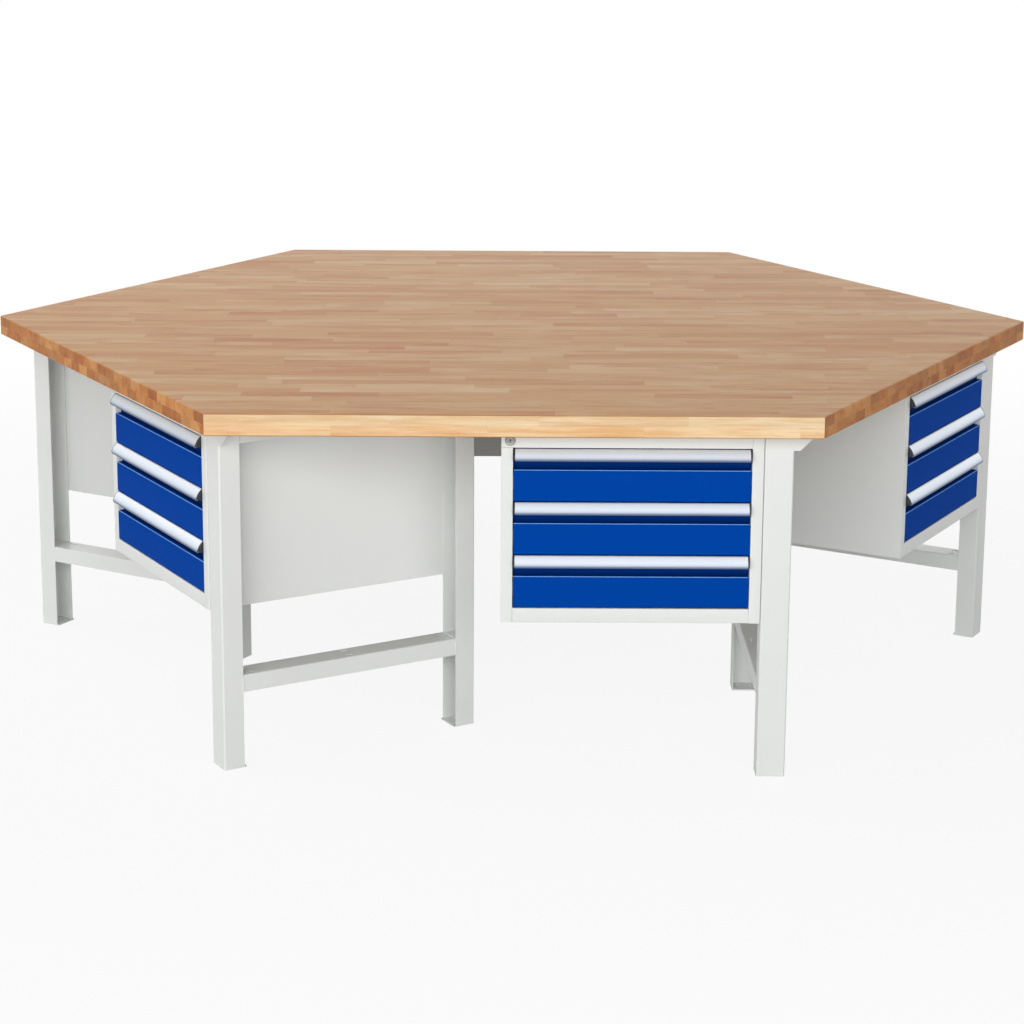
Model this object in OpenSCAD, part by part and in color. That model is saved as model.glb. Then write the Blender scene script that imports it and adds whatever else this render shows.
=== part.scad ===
// Six-sided workbench for six people. A glued beech top lies on six welded
// leg frames, and beside each frame hangs a steel cabinet with three drawers
// and a cylinder lock.
// Millimetres, +Z up, origin on the floor under the centre of the top.
// Station 1 faces -Y, and the others follow it anticlockwise, 60 degrees
// apart. Within a station x runs right along the edge of the top, y runs
// inwards from that edge, and z runs up from the floor.

/* [Worktop] */
// Length of one side of the six-sided top, which is one work station
station_w = 1350; // [1310:10:1600]
// Thickness of the glued beech top
top_t = 50; // [40:1:60]
// Bevel along the edges of the top
top_bevel = 2; // [0.5:0.5:4]
// Height of the working surface above the floor
bench_h = 850; // [750:10:1050]

/* [Leg frames] */
// Width of a leg's channel
leg_w = 65; // [55:1:80]
// Depth of a leg's channel
leg_d = 50; // [40:1:65]
// Sheet thickness of legs and rails
frame_t = 2.5; // [2:0.5:3.5]
// Outer radius of the bends in legs and rails
bend_r = 4; // [4:0.5:6]
// Depth of a frame, from the outer leg's face to the inner leg's
frame_depth = 650; // [560:10:680]
// Distance from the edge of the top in to the outer leg's face
frame_setback = 58; // [40:1:75]
// Distance from the frame's right side to the corner of the top
corner_inset = 57; // [55:1:80]
// Height of the upper and lower rails
rail_h = 40; // [30:1:55]
// Height of the lower rail's top face above the floor
rail_top = 220; // [150:5:300]
// Thickness of a foot plate
foot_t = 3; // [2:0.5:6]
// Length of foot plate that shows past the open side of the leg
foot_lip = 5; // [0:1:12]
// Diameter of the two floor holes in a foot plate
foot_hole_d = 9; // [6:0.5:11]
// Distance between the two floor holes
foot_hole_pitch = 30; // [24:1:34]
// Width of the slots in the lower rail
slot_w = 7; // [5:0.5:9]
// Length of the slots in the lower rail
slot_l = 20; // [14:1:30]
// Distance between the two slots of a pair
slot_pitch = 32; // [24:1:38]
// Distance from a leg's open side to the middle of the end slots
slot_inset = 25; // [18:1:60]

/* [Corner brackets] */
// Height of the bracket's upright plate
bracket_h = 40; // [25:1:60]
// Reach of the bracket past the leg, right under the top
bracket_reach = 50; // [35:1:52]
// Width of the bracket's lower edge, before its slanting end
bracket_foot = 13; // [5:1:20]

/* [Cabinets] */
// Outer width of a cabinet
cab_w = 580; // [480:5:600]
// Outer depth of a cabinet
cab_d = 645; // [600:5:660]
// Distance that the cabinet's front stands proud of the leg
cab_proud = 2; // [0:0.5:10]
// Gap between the cabinet and the leg frame
cab_gap = 1; // [0.5:0.5:6]
// Sheet thickness of the cabinet
cab_t = 1.2; // [1:0.1:2]
// Outer radius of the bends in the cabinet's sheet
cab_bend = 2.2; // [2.1:0.1:4]
// Width of the front posts
post_w = 26; // [22:1:36]
// Depth of the front posts
post_d = 45; // [35:1:60]
// Height of the strip over the drawers
strip_top = 36; // [32:1:60]
// Height of the strip under the drawers
strip_bottom = 33; // [20:1:60]
// Depth of the flanges folded back from the strips and from the posts' outer edges
strip_fold = 20; // [12:1:30]
// Width of the rear uprights that carry the runners
upright_w = 40; // [30:1:60]
// Distance from the rear uprights to the back panel
upright_gap = 55; // [40:1:80]

/* [Drawers] */
// Height of a drawer's front
front_h = 120; // [110:1:150]
// Gap over, under and between the fronts
front_gap = 2; // [1:0.5:4]
// Gap between a front and the posts
side_gap = 1.5; // [1:0.5:3]
// Depth of a drawer's front from face to back
front_d = 20; // [18:1:26]
// Depth of the recess behind the handle
recess_d = 14; // [10:1:16]
// Height of the raised lower panel of a front
panel_h = 72; // [60:1:78]
// Sheet thickness of the drawers
drawer_t = 1; // [0.8:0.1:1.6]
// Outer radius of the bends in a drawer's front
front_bend = 2.2; // [1.8:0.1:3]
// Height of a drawer's walls
wall_h = 90; // [70:1:95]
// Height of the drawer's floor over the lower edge of its front
floor_lift = 12; // [8:1:14]
// Distance from a drawer's rear wall to the cabinet's back panel
rear_gap = 50; // [20:1:80]
// Distance that a drawer pulls out
drawer_travel = 450; // [300:10:470]

/* [Runners] */
// Width of a runner, between the post and the drawer
slide_w = 12.7; // [11:0.1:14]
// Height of the fixed rail
slide_h = 30; // [24:1:36]
// Sheet thickness of the runners
slide_t = 1.5; // [1.2:0.1:1.8]
// Running clearance between the fixed rail and the drawer's rail
run_gap = 0.4; // [0.3:0.05:0.8]
// Distance from the drawer's floor up to the fixed rail
slide_lift = 8; // [4:1:16]

/* [Handles] */
// Distance that the handle stands out from the cabinet's front
grip_out = 14; // [10:1:24]
// Distance from the handle's top edge down to its lower edge
grip_drop = 22; // [18:1:30]
// Thickness of the aluminium strip
grip_t = 2.5; // [2:0.1:3]
// Bulge of the strip's outer face
grip_bulge = 2; // [0.8:0.1:2.5]
// Radius of the rolled lower edge
grip_bead = 2.2; // [2:0.1:3.2]
// Height of the leg that lies against the front
grip_leg = 24; // [16:1:30]
// Thickness of the plastic end caps
cap_t = 3; // [2:0.5:5]

/* [Locks] */
// Distance from the cabinet's left side to the middle of the lock
lock_in = 19.5; // [16:0.5:40]
// Distance from the cabinet's top down to the middle of the lock
lock_down = 19; // [17:0.5:20]
// Diameter of the lock's rim
rim_d = 23.5; // [20:0.5:25]
// Bevel round the lock's rim
rim_bevel = 0.8; // [0.3:0.1:1.2]
// Depth of the hollow in the rim's face
rim_hollow = 0.8; // [0.4:0.1:1.2]
// Diameter of the lock's barrel behind the rim
barrel_d = 19; // [16:0.5:19]
// Diameter of the turning plug
plug_d = 12; // [9:0.5:13]
// Radial clearance of the plug in the barrel
plug_gap = 0.05; // [0.03:0.01:0.1]
// Length of the cam from the middle of the plug
cam_l = 14; // [10:0.5:15]

/* [Fasteners] */
// Diameter of the screws under the top
screw_d = 6; // [4:0.5:7]
// Depth that the screws reach into the top
screw_bite = 30; // [15:1:35]

/* [Hidden] */
$fn = 48;
STATIONS = 6;
LEVELS = ["bottom", "middle", "top"];

beech = [0.84, 0.66, 0.45];
steel_grey = [0.83, 0.84, 0.83];
zinc = [0.72, 0.73, 0.74];
gentian_blue = [0, 0.24, 0.63];
bright_aluminium = [0.87, 0.88, 0.91];

// Gap between neighbouring pieces of one frame, cabinet, drawer or handle
seam = 0.1;
// Overlap of a cutter past the face that it cuts
cut = 1;

apothem = station_w * sin(60);
under_top = bench_h - top_t;
clearance_hole_d = screw_d + 0.6;
pilot_d = screw_d + 2 * seam;
head_h = 4;
head_d = 2 * screw_d;

frame_x0 = station_w / 2 - corner_inset - leg_w;
rail_l = frame_depth - 2 * leg_d;
top_screw_inset = 40;
// Places of the screws in the upper rail and the bracket, from the frame's outer left corner
rail_screws = [for (y = [top_screw_inset, rail_l / 2, rail_l - top_screw_inset]) [leg_w / 2, leg_d + y]];
bracket_screw = [leg_w + bracket_reach / 2, leg_d / 2];

cab_x0 = frame_x0 - cab_gap - cab_w;
cab_y0 = frame_setback - cab_proud;
opening_h = len(LEVELS) * front_h + (len(LEVELS) + 1) * front_gap;
cab_h = strip_bottom + opening_h + strip_top;
cab_z0 = under_top - cab_h;
opening_w = cab_w - 2 * post_w;
upright_y1 = cab_d - cab_t - upright_gap;
upright_y0 = upright_y1 - upright_w;
cab_screw_in = 60;
cab_screws = [for (x = [cab_screw_in, cab_w - cab_screw_in], y = [post_d + cab_screw_in, upright_y0]) [x, y]];

front_w = opening_w - 2 * side_gap;
back_flange = 15;
box_w = opening_w - 2 * slide_w - 2 * seam;
box_d = cab_d - cab_t - rear_gap - front_d;
slide_y0 = front_d + 4;
slide_l = upright_y1 - slide_y0;
slide_z = floor_lift + slide_lift;
// Stop tab on the fixed rail, which the closed rear end of the drawer's rail meets
stop_l = 6;
stop_h = 12;
stop_gap = 0.5;
stop_y = slide_l - slide_t - drawer_travel - stop_gap - stop_l;

lock_z = cab_h - lock_down;
rim_t = 2.5;
rim_lip = 1.6;
barrel_l = 22;
nut_t = 4;
nut_d = barrel_d + 6;
plug_proud = 0.4;
cam_t = 2;
cam_w = 9;
cam_gap = 0.4;
key_w = 1.6;
key_h = 8;
key_depth = 4;

// Lower edge of a drawer's front, from the cabinet's lower edge
function drawer_z(level) = strip_bottom + front_gap + level * (front_h + front_gap);

// Places a piece in station s
module station(s) {
    rotate([0, 0, 60 * (s - 1)]) translate([0, -apothem, 0]) children();
}

// Places a piece in the frame of station s, from its outer left corner at a height
module in_frame(s, z) {
    station(s) translate([frame_x0, frame_setback, z]) children();
}

// Places a piece in the cabinet of station s, from its front lower left corner
module in_cabinet(s) {
    station(s) translate([cab_x0, cab_y0, cab_z0]) children();
}

// Extrudes a profile drawn in y and z along x
module along_x(length) {
    rotate([90, 0, 90]) linear_extrude(length) children();
}

// Draws a piece of the cabinet, and its mirror image on the right
module both_sides() {
    children();
    translate([cab_w, 0, 0]) mirror([1, 0, 0]) children();
}

// Drills holes of diameter d through a plate that lies under z = 0
module drill(points, d, depth) {
    difference() {
        children();
        for (p = points) translate([p[0], p[1], -depth - cut]) cylinder(h = depth + 2 * cut, d = d);
    }
}

// Rectangle whose two corners at y = 0 are rounded
module rounded_front(w, d, r) {
    translate([r, 0]) square([w - 2 * r, d]);
    translate([0, r]) square([w, d - r]);
    for (x = [r, w - r]) translate([x, r]) circle(r);
}

// Rectangle whose corner at the origin is rounded
module rounded_low_front(w, h, r) {
    translate([r, 0]) square([w - r, h]);
    translate([0, r]) square([w, h - r]);
    translate([r, r]) circle(r);
}

// Folded channel with its web at y = 0
module channel(w, d, t, r) {
    difference() {
        rounded_front(w, d, r);
        translate([t, t]) rounded_front(w - 2 * t, d, r - t);
    }
}

// Cutter for a slot with round ends, which runs along y
module slot_cutter(w, l, depth) {
    for (y = [-1, 1]) translate([0, y * (l - w) / 2, 0]) cylinder(h = depth, d = w);
    translate([-w / 2, -(l - w) / 2, 0]) cube([w, l - w, depth]);
}

// Beech top with bevelled edges and pilot holes for the screws from below
module worktop() {
    bevel_side = top_bevel * sqrt(2);
    color(beech) difference() {
        translate([0, 0, under_top]) linear_extrude(top_t) circle(station_w, $fn = STATIONS);
        for (s = [1:STATIONS]) {
            for (z = [under_top, bench_h]) station(s) translate([-station_w, 0, z - top_bevel])
                rotate([45, 0, 0]) cube([2 * station_w, bevel_side, bevel_side]);
            for (p = concat(rail_screws, [bracket_screw]))
                in_frame(s, under_top) translate([p[0], p[1], -cut])
                    cylinder(h = screw_bite + 2 * cut, d = pilot_d);
            for (p = cab_screws) in_cabinet(s) translate([p[0], p[1], cab_h - cut])
                cylinder(h = screw_bite + 2 * cut, d = pilot_d);
        }
    }
}

// Outer leg: a folded channel that is open towards the inner leg
module leg() {
    translate([0, 0, foot_t + seam]) linear_extrude(under_top - foot_t - seam)
        channel(leg_w, leg_d, frame_t, bend_r);
}

// Foot plate, which shows past the open side of its leg and has two floor holes
module foot_plate() {
    holes = [for (side = [-1, 1]) [(leg_w + side * foot_hole_pitch) / 2, leg_d / 2]];
    translate([0, 0, foot_t]) drill(holes, foot_hole_d, foot_t) translate([0, 0, -foot_t])
        linear_extrude(foot_t) rounded_front(leg_w, leg_d + foot_lip, bend_r);
}

// Rail of downward open channel between the legs, with a tongue into each leg
module rail() {
    tongue_w = leg_w - 2 * frame_t - 2 * seam;
    translate([0, leg_d + seam, 0]) rotate([-90, 0, 0]) linear_extrude(rail_l - 2 * seam)
        channel(leg_w, rail_h, frame_t, bend_r);
    translate([(leg_w - tongue_w) / 2, bend_r, -frame_t])
        cube([tongue_w, frame_depth - 2 * bend_r, frame_t]);
}

// Lower rail with a pair of slots at each end and in the middle
module lower_rail() {
    difference() {
        rail();
        for (x = [-1, 1], y = [slot_inset, rail_l / 2, rail_l - slot_inset])
            translate([(leg_w + x * slot_pitch) / 2, leg_d + y, -frame_t - cut])
                slot_cutter(slot_w, slot_l, frame_t + 2 * cut);
    }
}

// Angle beside the outer leg, flush with its face, that carries the corner of the top
module corner_bracket() {
    tip_h = max(bracket_h - bracket_reach + bracket_foot, frame_t);
    difference() {
        union() {
            translate([0, frame_t, 0]) rotate([90, 0, 0]) linear_extrude(frame_t)
                polygon([[-bend_r, -bracket_h], [bracket_foot, -bracket_h],
                         [bracket_reach, -tip_h], [bracket_reach, 0], [-bend_r, 0]]);
            translate([0, 0, -frame_t]) cube([bracket_reach, leg_d, frame_t]);
        }
        translate([-leg_w - seam, -seam, -bracket_h - cut]) linear_extrude(bracket_h + 2 * cut)
            rounded_front(leg_w + 2 * seam, leg_d + 2 * seam, bend_r + seam);
    }
}

// Welded frame at the right of a station: two legs, their foot plates and two rails
module leg_frame() {
    color(steel_grey) {
        for (inner = [0, 1]) translate([0, inner * frame_depth, 0]) mirror([0, inner, 0]) {
            leg();
            foot_plate();
        }
        translate([0, 0, rail_top]) lower_rail();
        translate([0, 0, under_top]) drill(rail_screws, clearance_hole_d, frame_t) rail();
        translate([0, 0, under_top]) drill([bracket_screw], clearance_hole_d, frame_t)
            translate([leg_w, 0, 0]) corner_bracket();
    }
}

// Front post of folded sheet: flange in line with the side wall, face, and return beside
// the drawers
module post(h) {
    linear_extrude(h) difference() {
        channel(post_w, post_d, cab_t, cab_bend);
        translate([-cut, strip_fold]) square([cut + post_w / 2, post_d]);
    }
}

// Rear upright, a channel that is open to the side wall
module upright() {
    x0 = cab_t + seam;
    translate([0, upright_y0, cab_t + seam]) linear_extrude(cab_h - 2 * cab_t - 2 * seam) {
        translate([post_w - cab_t, 0]) square([cab_t, upright_w]);
        for (y = [0, upright_w - cab_t]) translate([x0, y]) square([post_w - x0, cab_t]);
    }
}

// Sheet that closes the cabinet above or below, notched round the front posts
module deck(left_notch) {
    x0 = cab_t + seam;
    y0 = cab_t + seam;
    back_y = cab_d - cab_t - seam;
    translate([x0, post_d + seam, 0]) cube([cab_w - 2 * x0, back_y - post_d - seam, cab_t]);
    translate([left_notch, y0, 0])
        cube([cab_w - post_w - seam - left_notch, post_d + 2 * seam - y0, cab_t]);
}

// Front strip from x0 to the right post, whose lower edge is folded back
module strip(x0, h) {
    translate([x0, 0, 0]) along_x(cab_w - post_w - seam - x0) difference() {
        rounded_low_front(strip_fold, h, cab_bend);
        translate([cab_t, cab_t]) rounded_low_front(strip_fold, h, cab_bend - cab_t);
    }
}

// Strip over the drawers, with a return at its left end and a hole for the lock
module top_strip() {
    difference() {
        union() {
            strip(0, strip_top);
            cube([cab_t, strip_fold, strip_top]);
        }
        translate([lock_in, -cut, strip_top - lock_down]) rotate([-90, 0, 0])
            cylinder(h = cab_t + 2 * cut, d = barrel_d + 2 * seam);
    }
}

// Hanging cabinet: walls, back, decks, front strips, front posts and rear uprights
module cabinet() {
    color(steel_grey) {
        both_sides() translate([0, strip_fold + seam, 0])
            cube([cab_t, cab_d - strip_fold - seam, cab_h]);
        translate([cab_t + seam, cab_d - cab_t, 0]) cube([cab_w - 2 * (cab_t + seam), cab_t, cab_h]);
        post(cab_h - strip_top - seam);
        translate([cab_w, 0, 0]) mirror([1, 0, 0]) post(cab_h);
        both_sides() upright();
        deck(post_w + seam);
        translate([0, 0, cab_h]) drill(cab_screws, clearance_hole_d, cab_t)
            translate([0, 0, -cab_t]) deck(cab_t + seam);
        translate([0, 0, strip_bottom]) mirror([0, 0, 1]) strip(post_w + seam, strip_bottom);
        translate([0, 0, cab_h - strip_top]) top_strip();
    }
}

// Fixed rail of a runner: a channel that is open to the drawer, with a stop tab inside
module fixed_rail() {
    rotate([-90, 0, 0]) linear_extrude(slide_l) {
        translate([0, -slide_h]) square([slide_t, slide_h]);
        for (z = [0, slide_h - slide_t]) translate([0, -z - slide_t])
            square([slide_w - slide_t - run_gap, slide_t]);
    }
    translate([0, stop_y, (slide_h - stop_h) / 2]) cube([slide_w / 2, stop_l, stop_h]);
}

// Drawer's rail of a runner: a smaller channel inside the fixed one, closed at its rear end
module drawer_rail() {
    inner_h = slide_h - 2 * slide_t - 2 * run_gap;
    flange_x0 = slide_t + run_gap;
    translate([0, 0, slide_t + run_gap]) {
        rotate([-90, 0, 0]) linear_extrude(slide_l) {
            translate([slide_w - slide_t, -inner_h]) square([slide_t, inner_h]);
            for (z = [0, inner_h - slide_t]) translate([flange_x0, -z - slide_t])
                square([slide_w - flange_x0, slide_t]);
        }
        translate([flange_x0, slide_l - slide_t, 0]) cube([slide_w - flange_x0, slide_t, inner_h]);
    }
}

// Places a runner's rail beside the left post, and its mirror image on the right
module runner_pair() {
    both_sides() translate([post_w, slide_y0, slide_z]) children();
}

// Outline of a drawer's front from the side, with everything moved in by the inset
module front_outline(inset) {
    r = front_bend - inset;
    panel_z1 = panel_h - inset;
    top_z1 = front_h - inset;
    depth = front_d - recess_d - 2 * inset;
    translate([inset, inset]) rounded_low_front(front_d - 2 * inset, panel_z1 - inset - r, r);
    translate([inset, panel_z1]) mirror([0, 1]) rounded_low_front(front_d - 2 * inset, panel_h / 2, r);
    translate([recess_d + inset, top_z1]) mirror([0, 1]) rounded_low_front(depth, top_z1 - panel_h / 2, r);
}

// Drawer front of folded sheet: raised panel, recess for the fingers, closed ends and
// two flanges at the back that the box is welded to
module drawer_front() {
    window_z0 = floor_lift + back_flange;
    window_z1 = floor_lift + wall_h - back_flange;
    along_x(front_w) difference() {
        front_outline(0);
        front_outline(drawer_t);
        translate([front_d - drawer_t - cut, window_z0]) square([drawer_t + 2 * cut, window_z1 - window_z0]);
    }
    for (x = [0, front_w - drawer_t]) translate([x, 0, 0]) along_x(drawer_t) front_outline(0);
}

// Open box behind the front: floor, side walls, and a front and a rear wall between them
module drawer_box() {
    lap = drawer_t + seam;
    cube([box_w, box_d, drawer_t]);
    for (x = [0, box_w - drawer_t]) translate([x, 0, lap]) cube([drawer_t, box_d, wall_h - lap]);
    for (y = [0, box_d - drawer_t]) translate([lap, y, lap]) cube([box_w - 2 * lap, drawer_t, wall_h - lap]);
}

// Drawer from the lower edge of its front: front, box and one rail at each side
module drawer() {
    color(gentian_blue) translate([post_w + side_gap, 0, 0]) drawer_front();
    color(steel_grey) translate([post_w + slide_w + seam, front_d + seam, floor_lift]) drawer_box();
    color(zinc) runner_pair() drawer_rail();
}

// The handle's strip is an arc from its top edge, at the origin, to its lower edge
grip_edge = [-grip_out, -grip_drop];
grip_chord = norm(grip_edge);
grip_r = (grip_chord ^ 2 / 4 + grip_bulge ^ 2) / (2 * grip_bulge);
grip_normal = [-grip_drop, grip_out] / grip_chord;
grip_centre = grip_edge / 2 - grip_normal * (grip_r - grip_bulge);
grip_inwards = (grip_centre - grip_edge) / grip_r;
cap_drop = grip_drop + 10;

// Section of the aluminium strip: curved grip, rolled edge, top web and leg
module grip_profile() {
    intersection() {
        translate(grip_centre) difference() {
            circle(grip_r, $fn = 180);
            circle(grip_r - grip_t, $fn = 180);
        }
        polygon([grip_centre, grip_centre * -0.1, grip_edge + (grip_edge - grip_centre) * 0.1]);
    }
    translate(grip_edge + grip_inwards * grip_bead) circle(grip_bead);
    translate([0, -grip_t]) square([recess_d, grip_t]);
    translate([recess_d - grip_t, -grip_leg]) square([grip_t, grip_leg]);
}

// Outline of an end cap, which closes the space behind the grip
module cap_profile() {
    bulge = grip_normal * 2 * grip_bulge;
    intersection() {
        translate(grip_centre) circle(grip_r, $fn = 180);
        polygon([[0, 0], bulge, grip_edge + bulge, grip_edge]);
    }
    polygon([[recess_d, 0], [0, 0], grip_edge, [recess_d, -cap_drop]]);
}

// Handle from the lower edge of its drawer's front
module handle() {
    translate([post_w + side_gap, 0, front_h]) {
        color(bright_aluminium) translate([cap_t + seam, 0, 0])
            along_x(front_w - 2 * (cap_t + seam)) grip_profile();
        color("black") for (x = [0, front_w - cap_t]) translate([x, 0, 0]) along_x(cap_t) cap_profile();
    }
}

// Fixed part of a lock: rim with its hollow face and barrel in one piece, and the nut behind the strip
module lock_housing() {
    bore_d = plug_d + 2 * plug_gap;
    color(zinc) translate([lock_in, 0, lock_z]) rotate([-90, 0, 0]) {
        difference() {
            union() {
                translate([0, 0, rim_bevel - rim_t]) cylinder(h = rim_t - rim_bevel, d = rim_d);
                translate([0, 0, -rim_t]) cylinder(h = rim_bevel, d1 = rim_d - 2 * rim_bevel, d2 = rim_d);
                cylinder(h = barrel_l, d = barrel_d);
            }
            translate([0, 0, -rim_t - cut]) cylinder(h = rim_hollow + cut, d = rim_d - 2 * (rim_bevel + rim_lip));
            translate([0, 0, -rim_t - cut]) cylinder(h = rim_t + barrel_l + 2 * cut, d = bore_d);
        }
        translate([0, 0, cab_t]) difference() {
            cylinder(h = nut_t, d = nut_d, $fn = 6);
            translate([0, 0, -cut]) cylinder(h = nut_t + 2 * cut, d = barrel_d + 2 * seam);
        }
    }
}

// Turning plug of a lock, with its keyway and the cam at its rear end
module lock_plug() {
    plug_z0 = rim_hollow - rim_t - plug_proud;
    cam_z = barrel_l + cam_gap;
    color(zinc) translate([lock_in, 0, lock_z]) rotate([-90, 0, 0]) {
        difference() {
            translate([0, 0, plug_z0]) cylinder(h = cam_z + cam_t - plug_z0, d = plug_d);
            translate([-key_w / 2, -key_h / 2, plug_z0 - cut]) cube([key_w, key_h, key_depth + cut]);
        }
        translate([0, -cam_w / 2, cam_z]) cube([cam_l, cam_w, cam_t]);
    }
}

// Screw from below, with its head under a plate of thickness t that ends at z = 0
module screw(t) {
    translate([0, 0, -t - head_h]) cylinder(h = head_h, d = head_d, $fn = 6);
    translate([0, 0, -t]) cylinder(h = t + screw_bite, d = screw_d);
}

module fasteners() {
    color(zinc) for (s = [1:STATIONS]) {
        for (p = concat(rail_screws, [bracket_screw]))
            in_frame(s, under_top) translate([p[0], p[1], 0]) screw(frame_t);
        for (p = cab_screws) in_cabinet(s) translate([p[0], p[1], cab_h]) screw(cab_t);
    }
}

module runner_rails() {
    color(zinc) for (s = [1:STATIONS], level = [0:len(LEVELS) - 1])
        in_cabinet(s) translate([0, 0, drawer_z(level)]) runner_pair() fixed_rail();
}

module lock_housings() {
    for (s = [1:STATIONS]) in_cabinet(s) lock_housing();
}

worktop();
runner_rails();
lock_housings();
fasteners();
for (s = [1:STATIONS]) {
    in_frame(s, 0) leg_frame();
    in_cabinet(s) cabinet();
    in_cabinet(s) lock_plug();
    for (level = [0:len(LEVELS) - 1]) {
        in_cabinet(s) translate([0, 0, drawer_z(level)]) drawer();
        in_cabinet(s) translate([0, 0, drawer_z(level)]) handle();
    }
}
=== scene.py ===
"""Looks of the six-station workbench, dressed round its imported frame.

The frame gives every body, node and joint. The worktop, the leg frames, the fixed
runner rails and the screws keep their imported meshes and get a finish. The cabinets,
drawers, handles and locks are made here as folded sheet, drawn strip and turned
metal, in the place of their nodes. Sizes are in millimetres unless a docstring says
metres, and the meshes are in metres.
"""
import logging
import math
from dataclasses import dataclass, field
from enum import Enum
from typing import Any, Sequence, Union

import bmesh
import bpy
from mathutils import Matrix, Vector
from mathutils.geometry import tessellate_polygon


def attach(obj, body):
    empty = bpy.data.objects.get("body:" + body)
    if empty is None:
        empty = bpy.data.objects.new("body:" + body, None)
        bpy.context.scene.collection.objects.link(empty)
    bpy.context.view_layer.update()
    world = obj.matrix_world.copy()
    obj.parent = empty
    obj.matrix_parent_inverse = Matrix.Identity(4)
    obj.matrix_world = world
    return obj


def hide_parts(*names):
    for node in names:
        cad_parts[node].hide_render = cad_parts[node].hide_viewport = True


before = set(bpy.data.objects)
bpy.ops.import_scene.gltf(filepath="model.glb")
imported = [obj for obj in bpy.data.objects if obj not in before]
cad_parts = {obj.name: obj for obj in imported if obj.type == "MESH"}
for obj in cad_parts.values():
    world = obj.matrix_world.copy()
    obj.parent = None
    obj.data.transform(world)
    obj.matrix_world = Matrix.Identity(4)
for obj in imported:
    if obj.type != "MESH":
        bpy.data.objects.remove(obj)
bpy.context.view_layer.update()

LOG = logging.getLogger("workbench")

# Metres in a millimetre.
MM = 0.001
STATIONS = range(1, 7)
STATION_DEGREES = 60.0
FULL_TURN = 2 * math.pi

# Angle in degrees under which an edge is shaded smooth, unless a piece has its own.
SMOOTH_BELOW = 32.0
BEND_STEPS = 4
BEVEL_STEPS = 2

Point = tuple[float, float]
Place = tuple[float, float, float]
Colour = tuple[float, float, float]
Span = tuple[float, float]
Tones = tuple[tuple[float, Colour], ...]
Term = Union["Value", float]

WHITE = (1.0, 1.0, 1.0, 1.0)

# Parts of a noise's reach that a ramp stretches to its own.
NARROW: Span = (0.3, 0.7)
MEDIUM: Span = (0.25, 0.75)
WIDE: Span = (0.2, 0.8)


class Plane(Enum):
    """The plane of an outline, and how its points and height map to x, y and z."""

    XY = (0, 1, 2)
    YZ = (1, 2, 0)
    XZ = (0, 2, 1)


class Level(Enum):
    """The three drawers of a cabinet, from below."""

    BOTTOM = 0
    MIDDLE = 1
    TOP = 2

    @property
    def label(self) -> str:
        """The drawer's word in the names of its nodes."""
        return self.name.lower()


class Slot(Enum):
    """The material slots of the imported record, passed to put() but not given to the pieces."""

    GREY = "steel_grey"
    BLUE = "drawer_blue"
    ALUMINIUM = "handle_aluminium"
    LOCK = "lock_metal"
    ZINC = "zinc_steel"


class Draw(Enum):
    """Numbers that keep the random draws over the staves apart from each other."""

    START = 3.0
    LENGTH = 9.0
    DRIFT = 20.0
    BLOCK = 31.0


def linear(red: int, green: int, blue: int) -> Colour:
    """Turns a display colour into the linear one that a shader takes, by the sRGB curve.

    Args:
        red: Red from 0 to 255.
        green: Green from 0 to 255.
        blue: Blue from 0 to 255.

    Returns:
        The three linear values.
    """
    shares = (red / 255, green / 255, blue / 255)
    return tuple(c / 12.92 if c <= 0.04045 else ((c + 0.055) / 1.055) ** 2.4 for c in shares)


# Sizes


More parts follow.
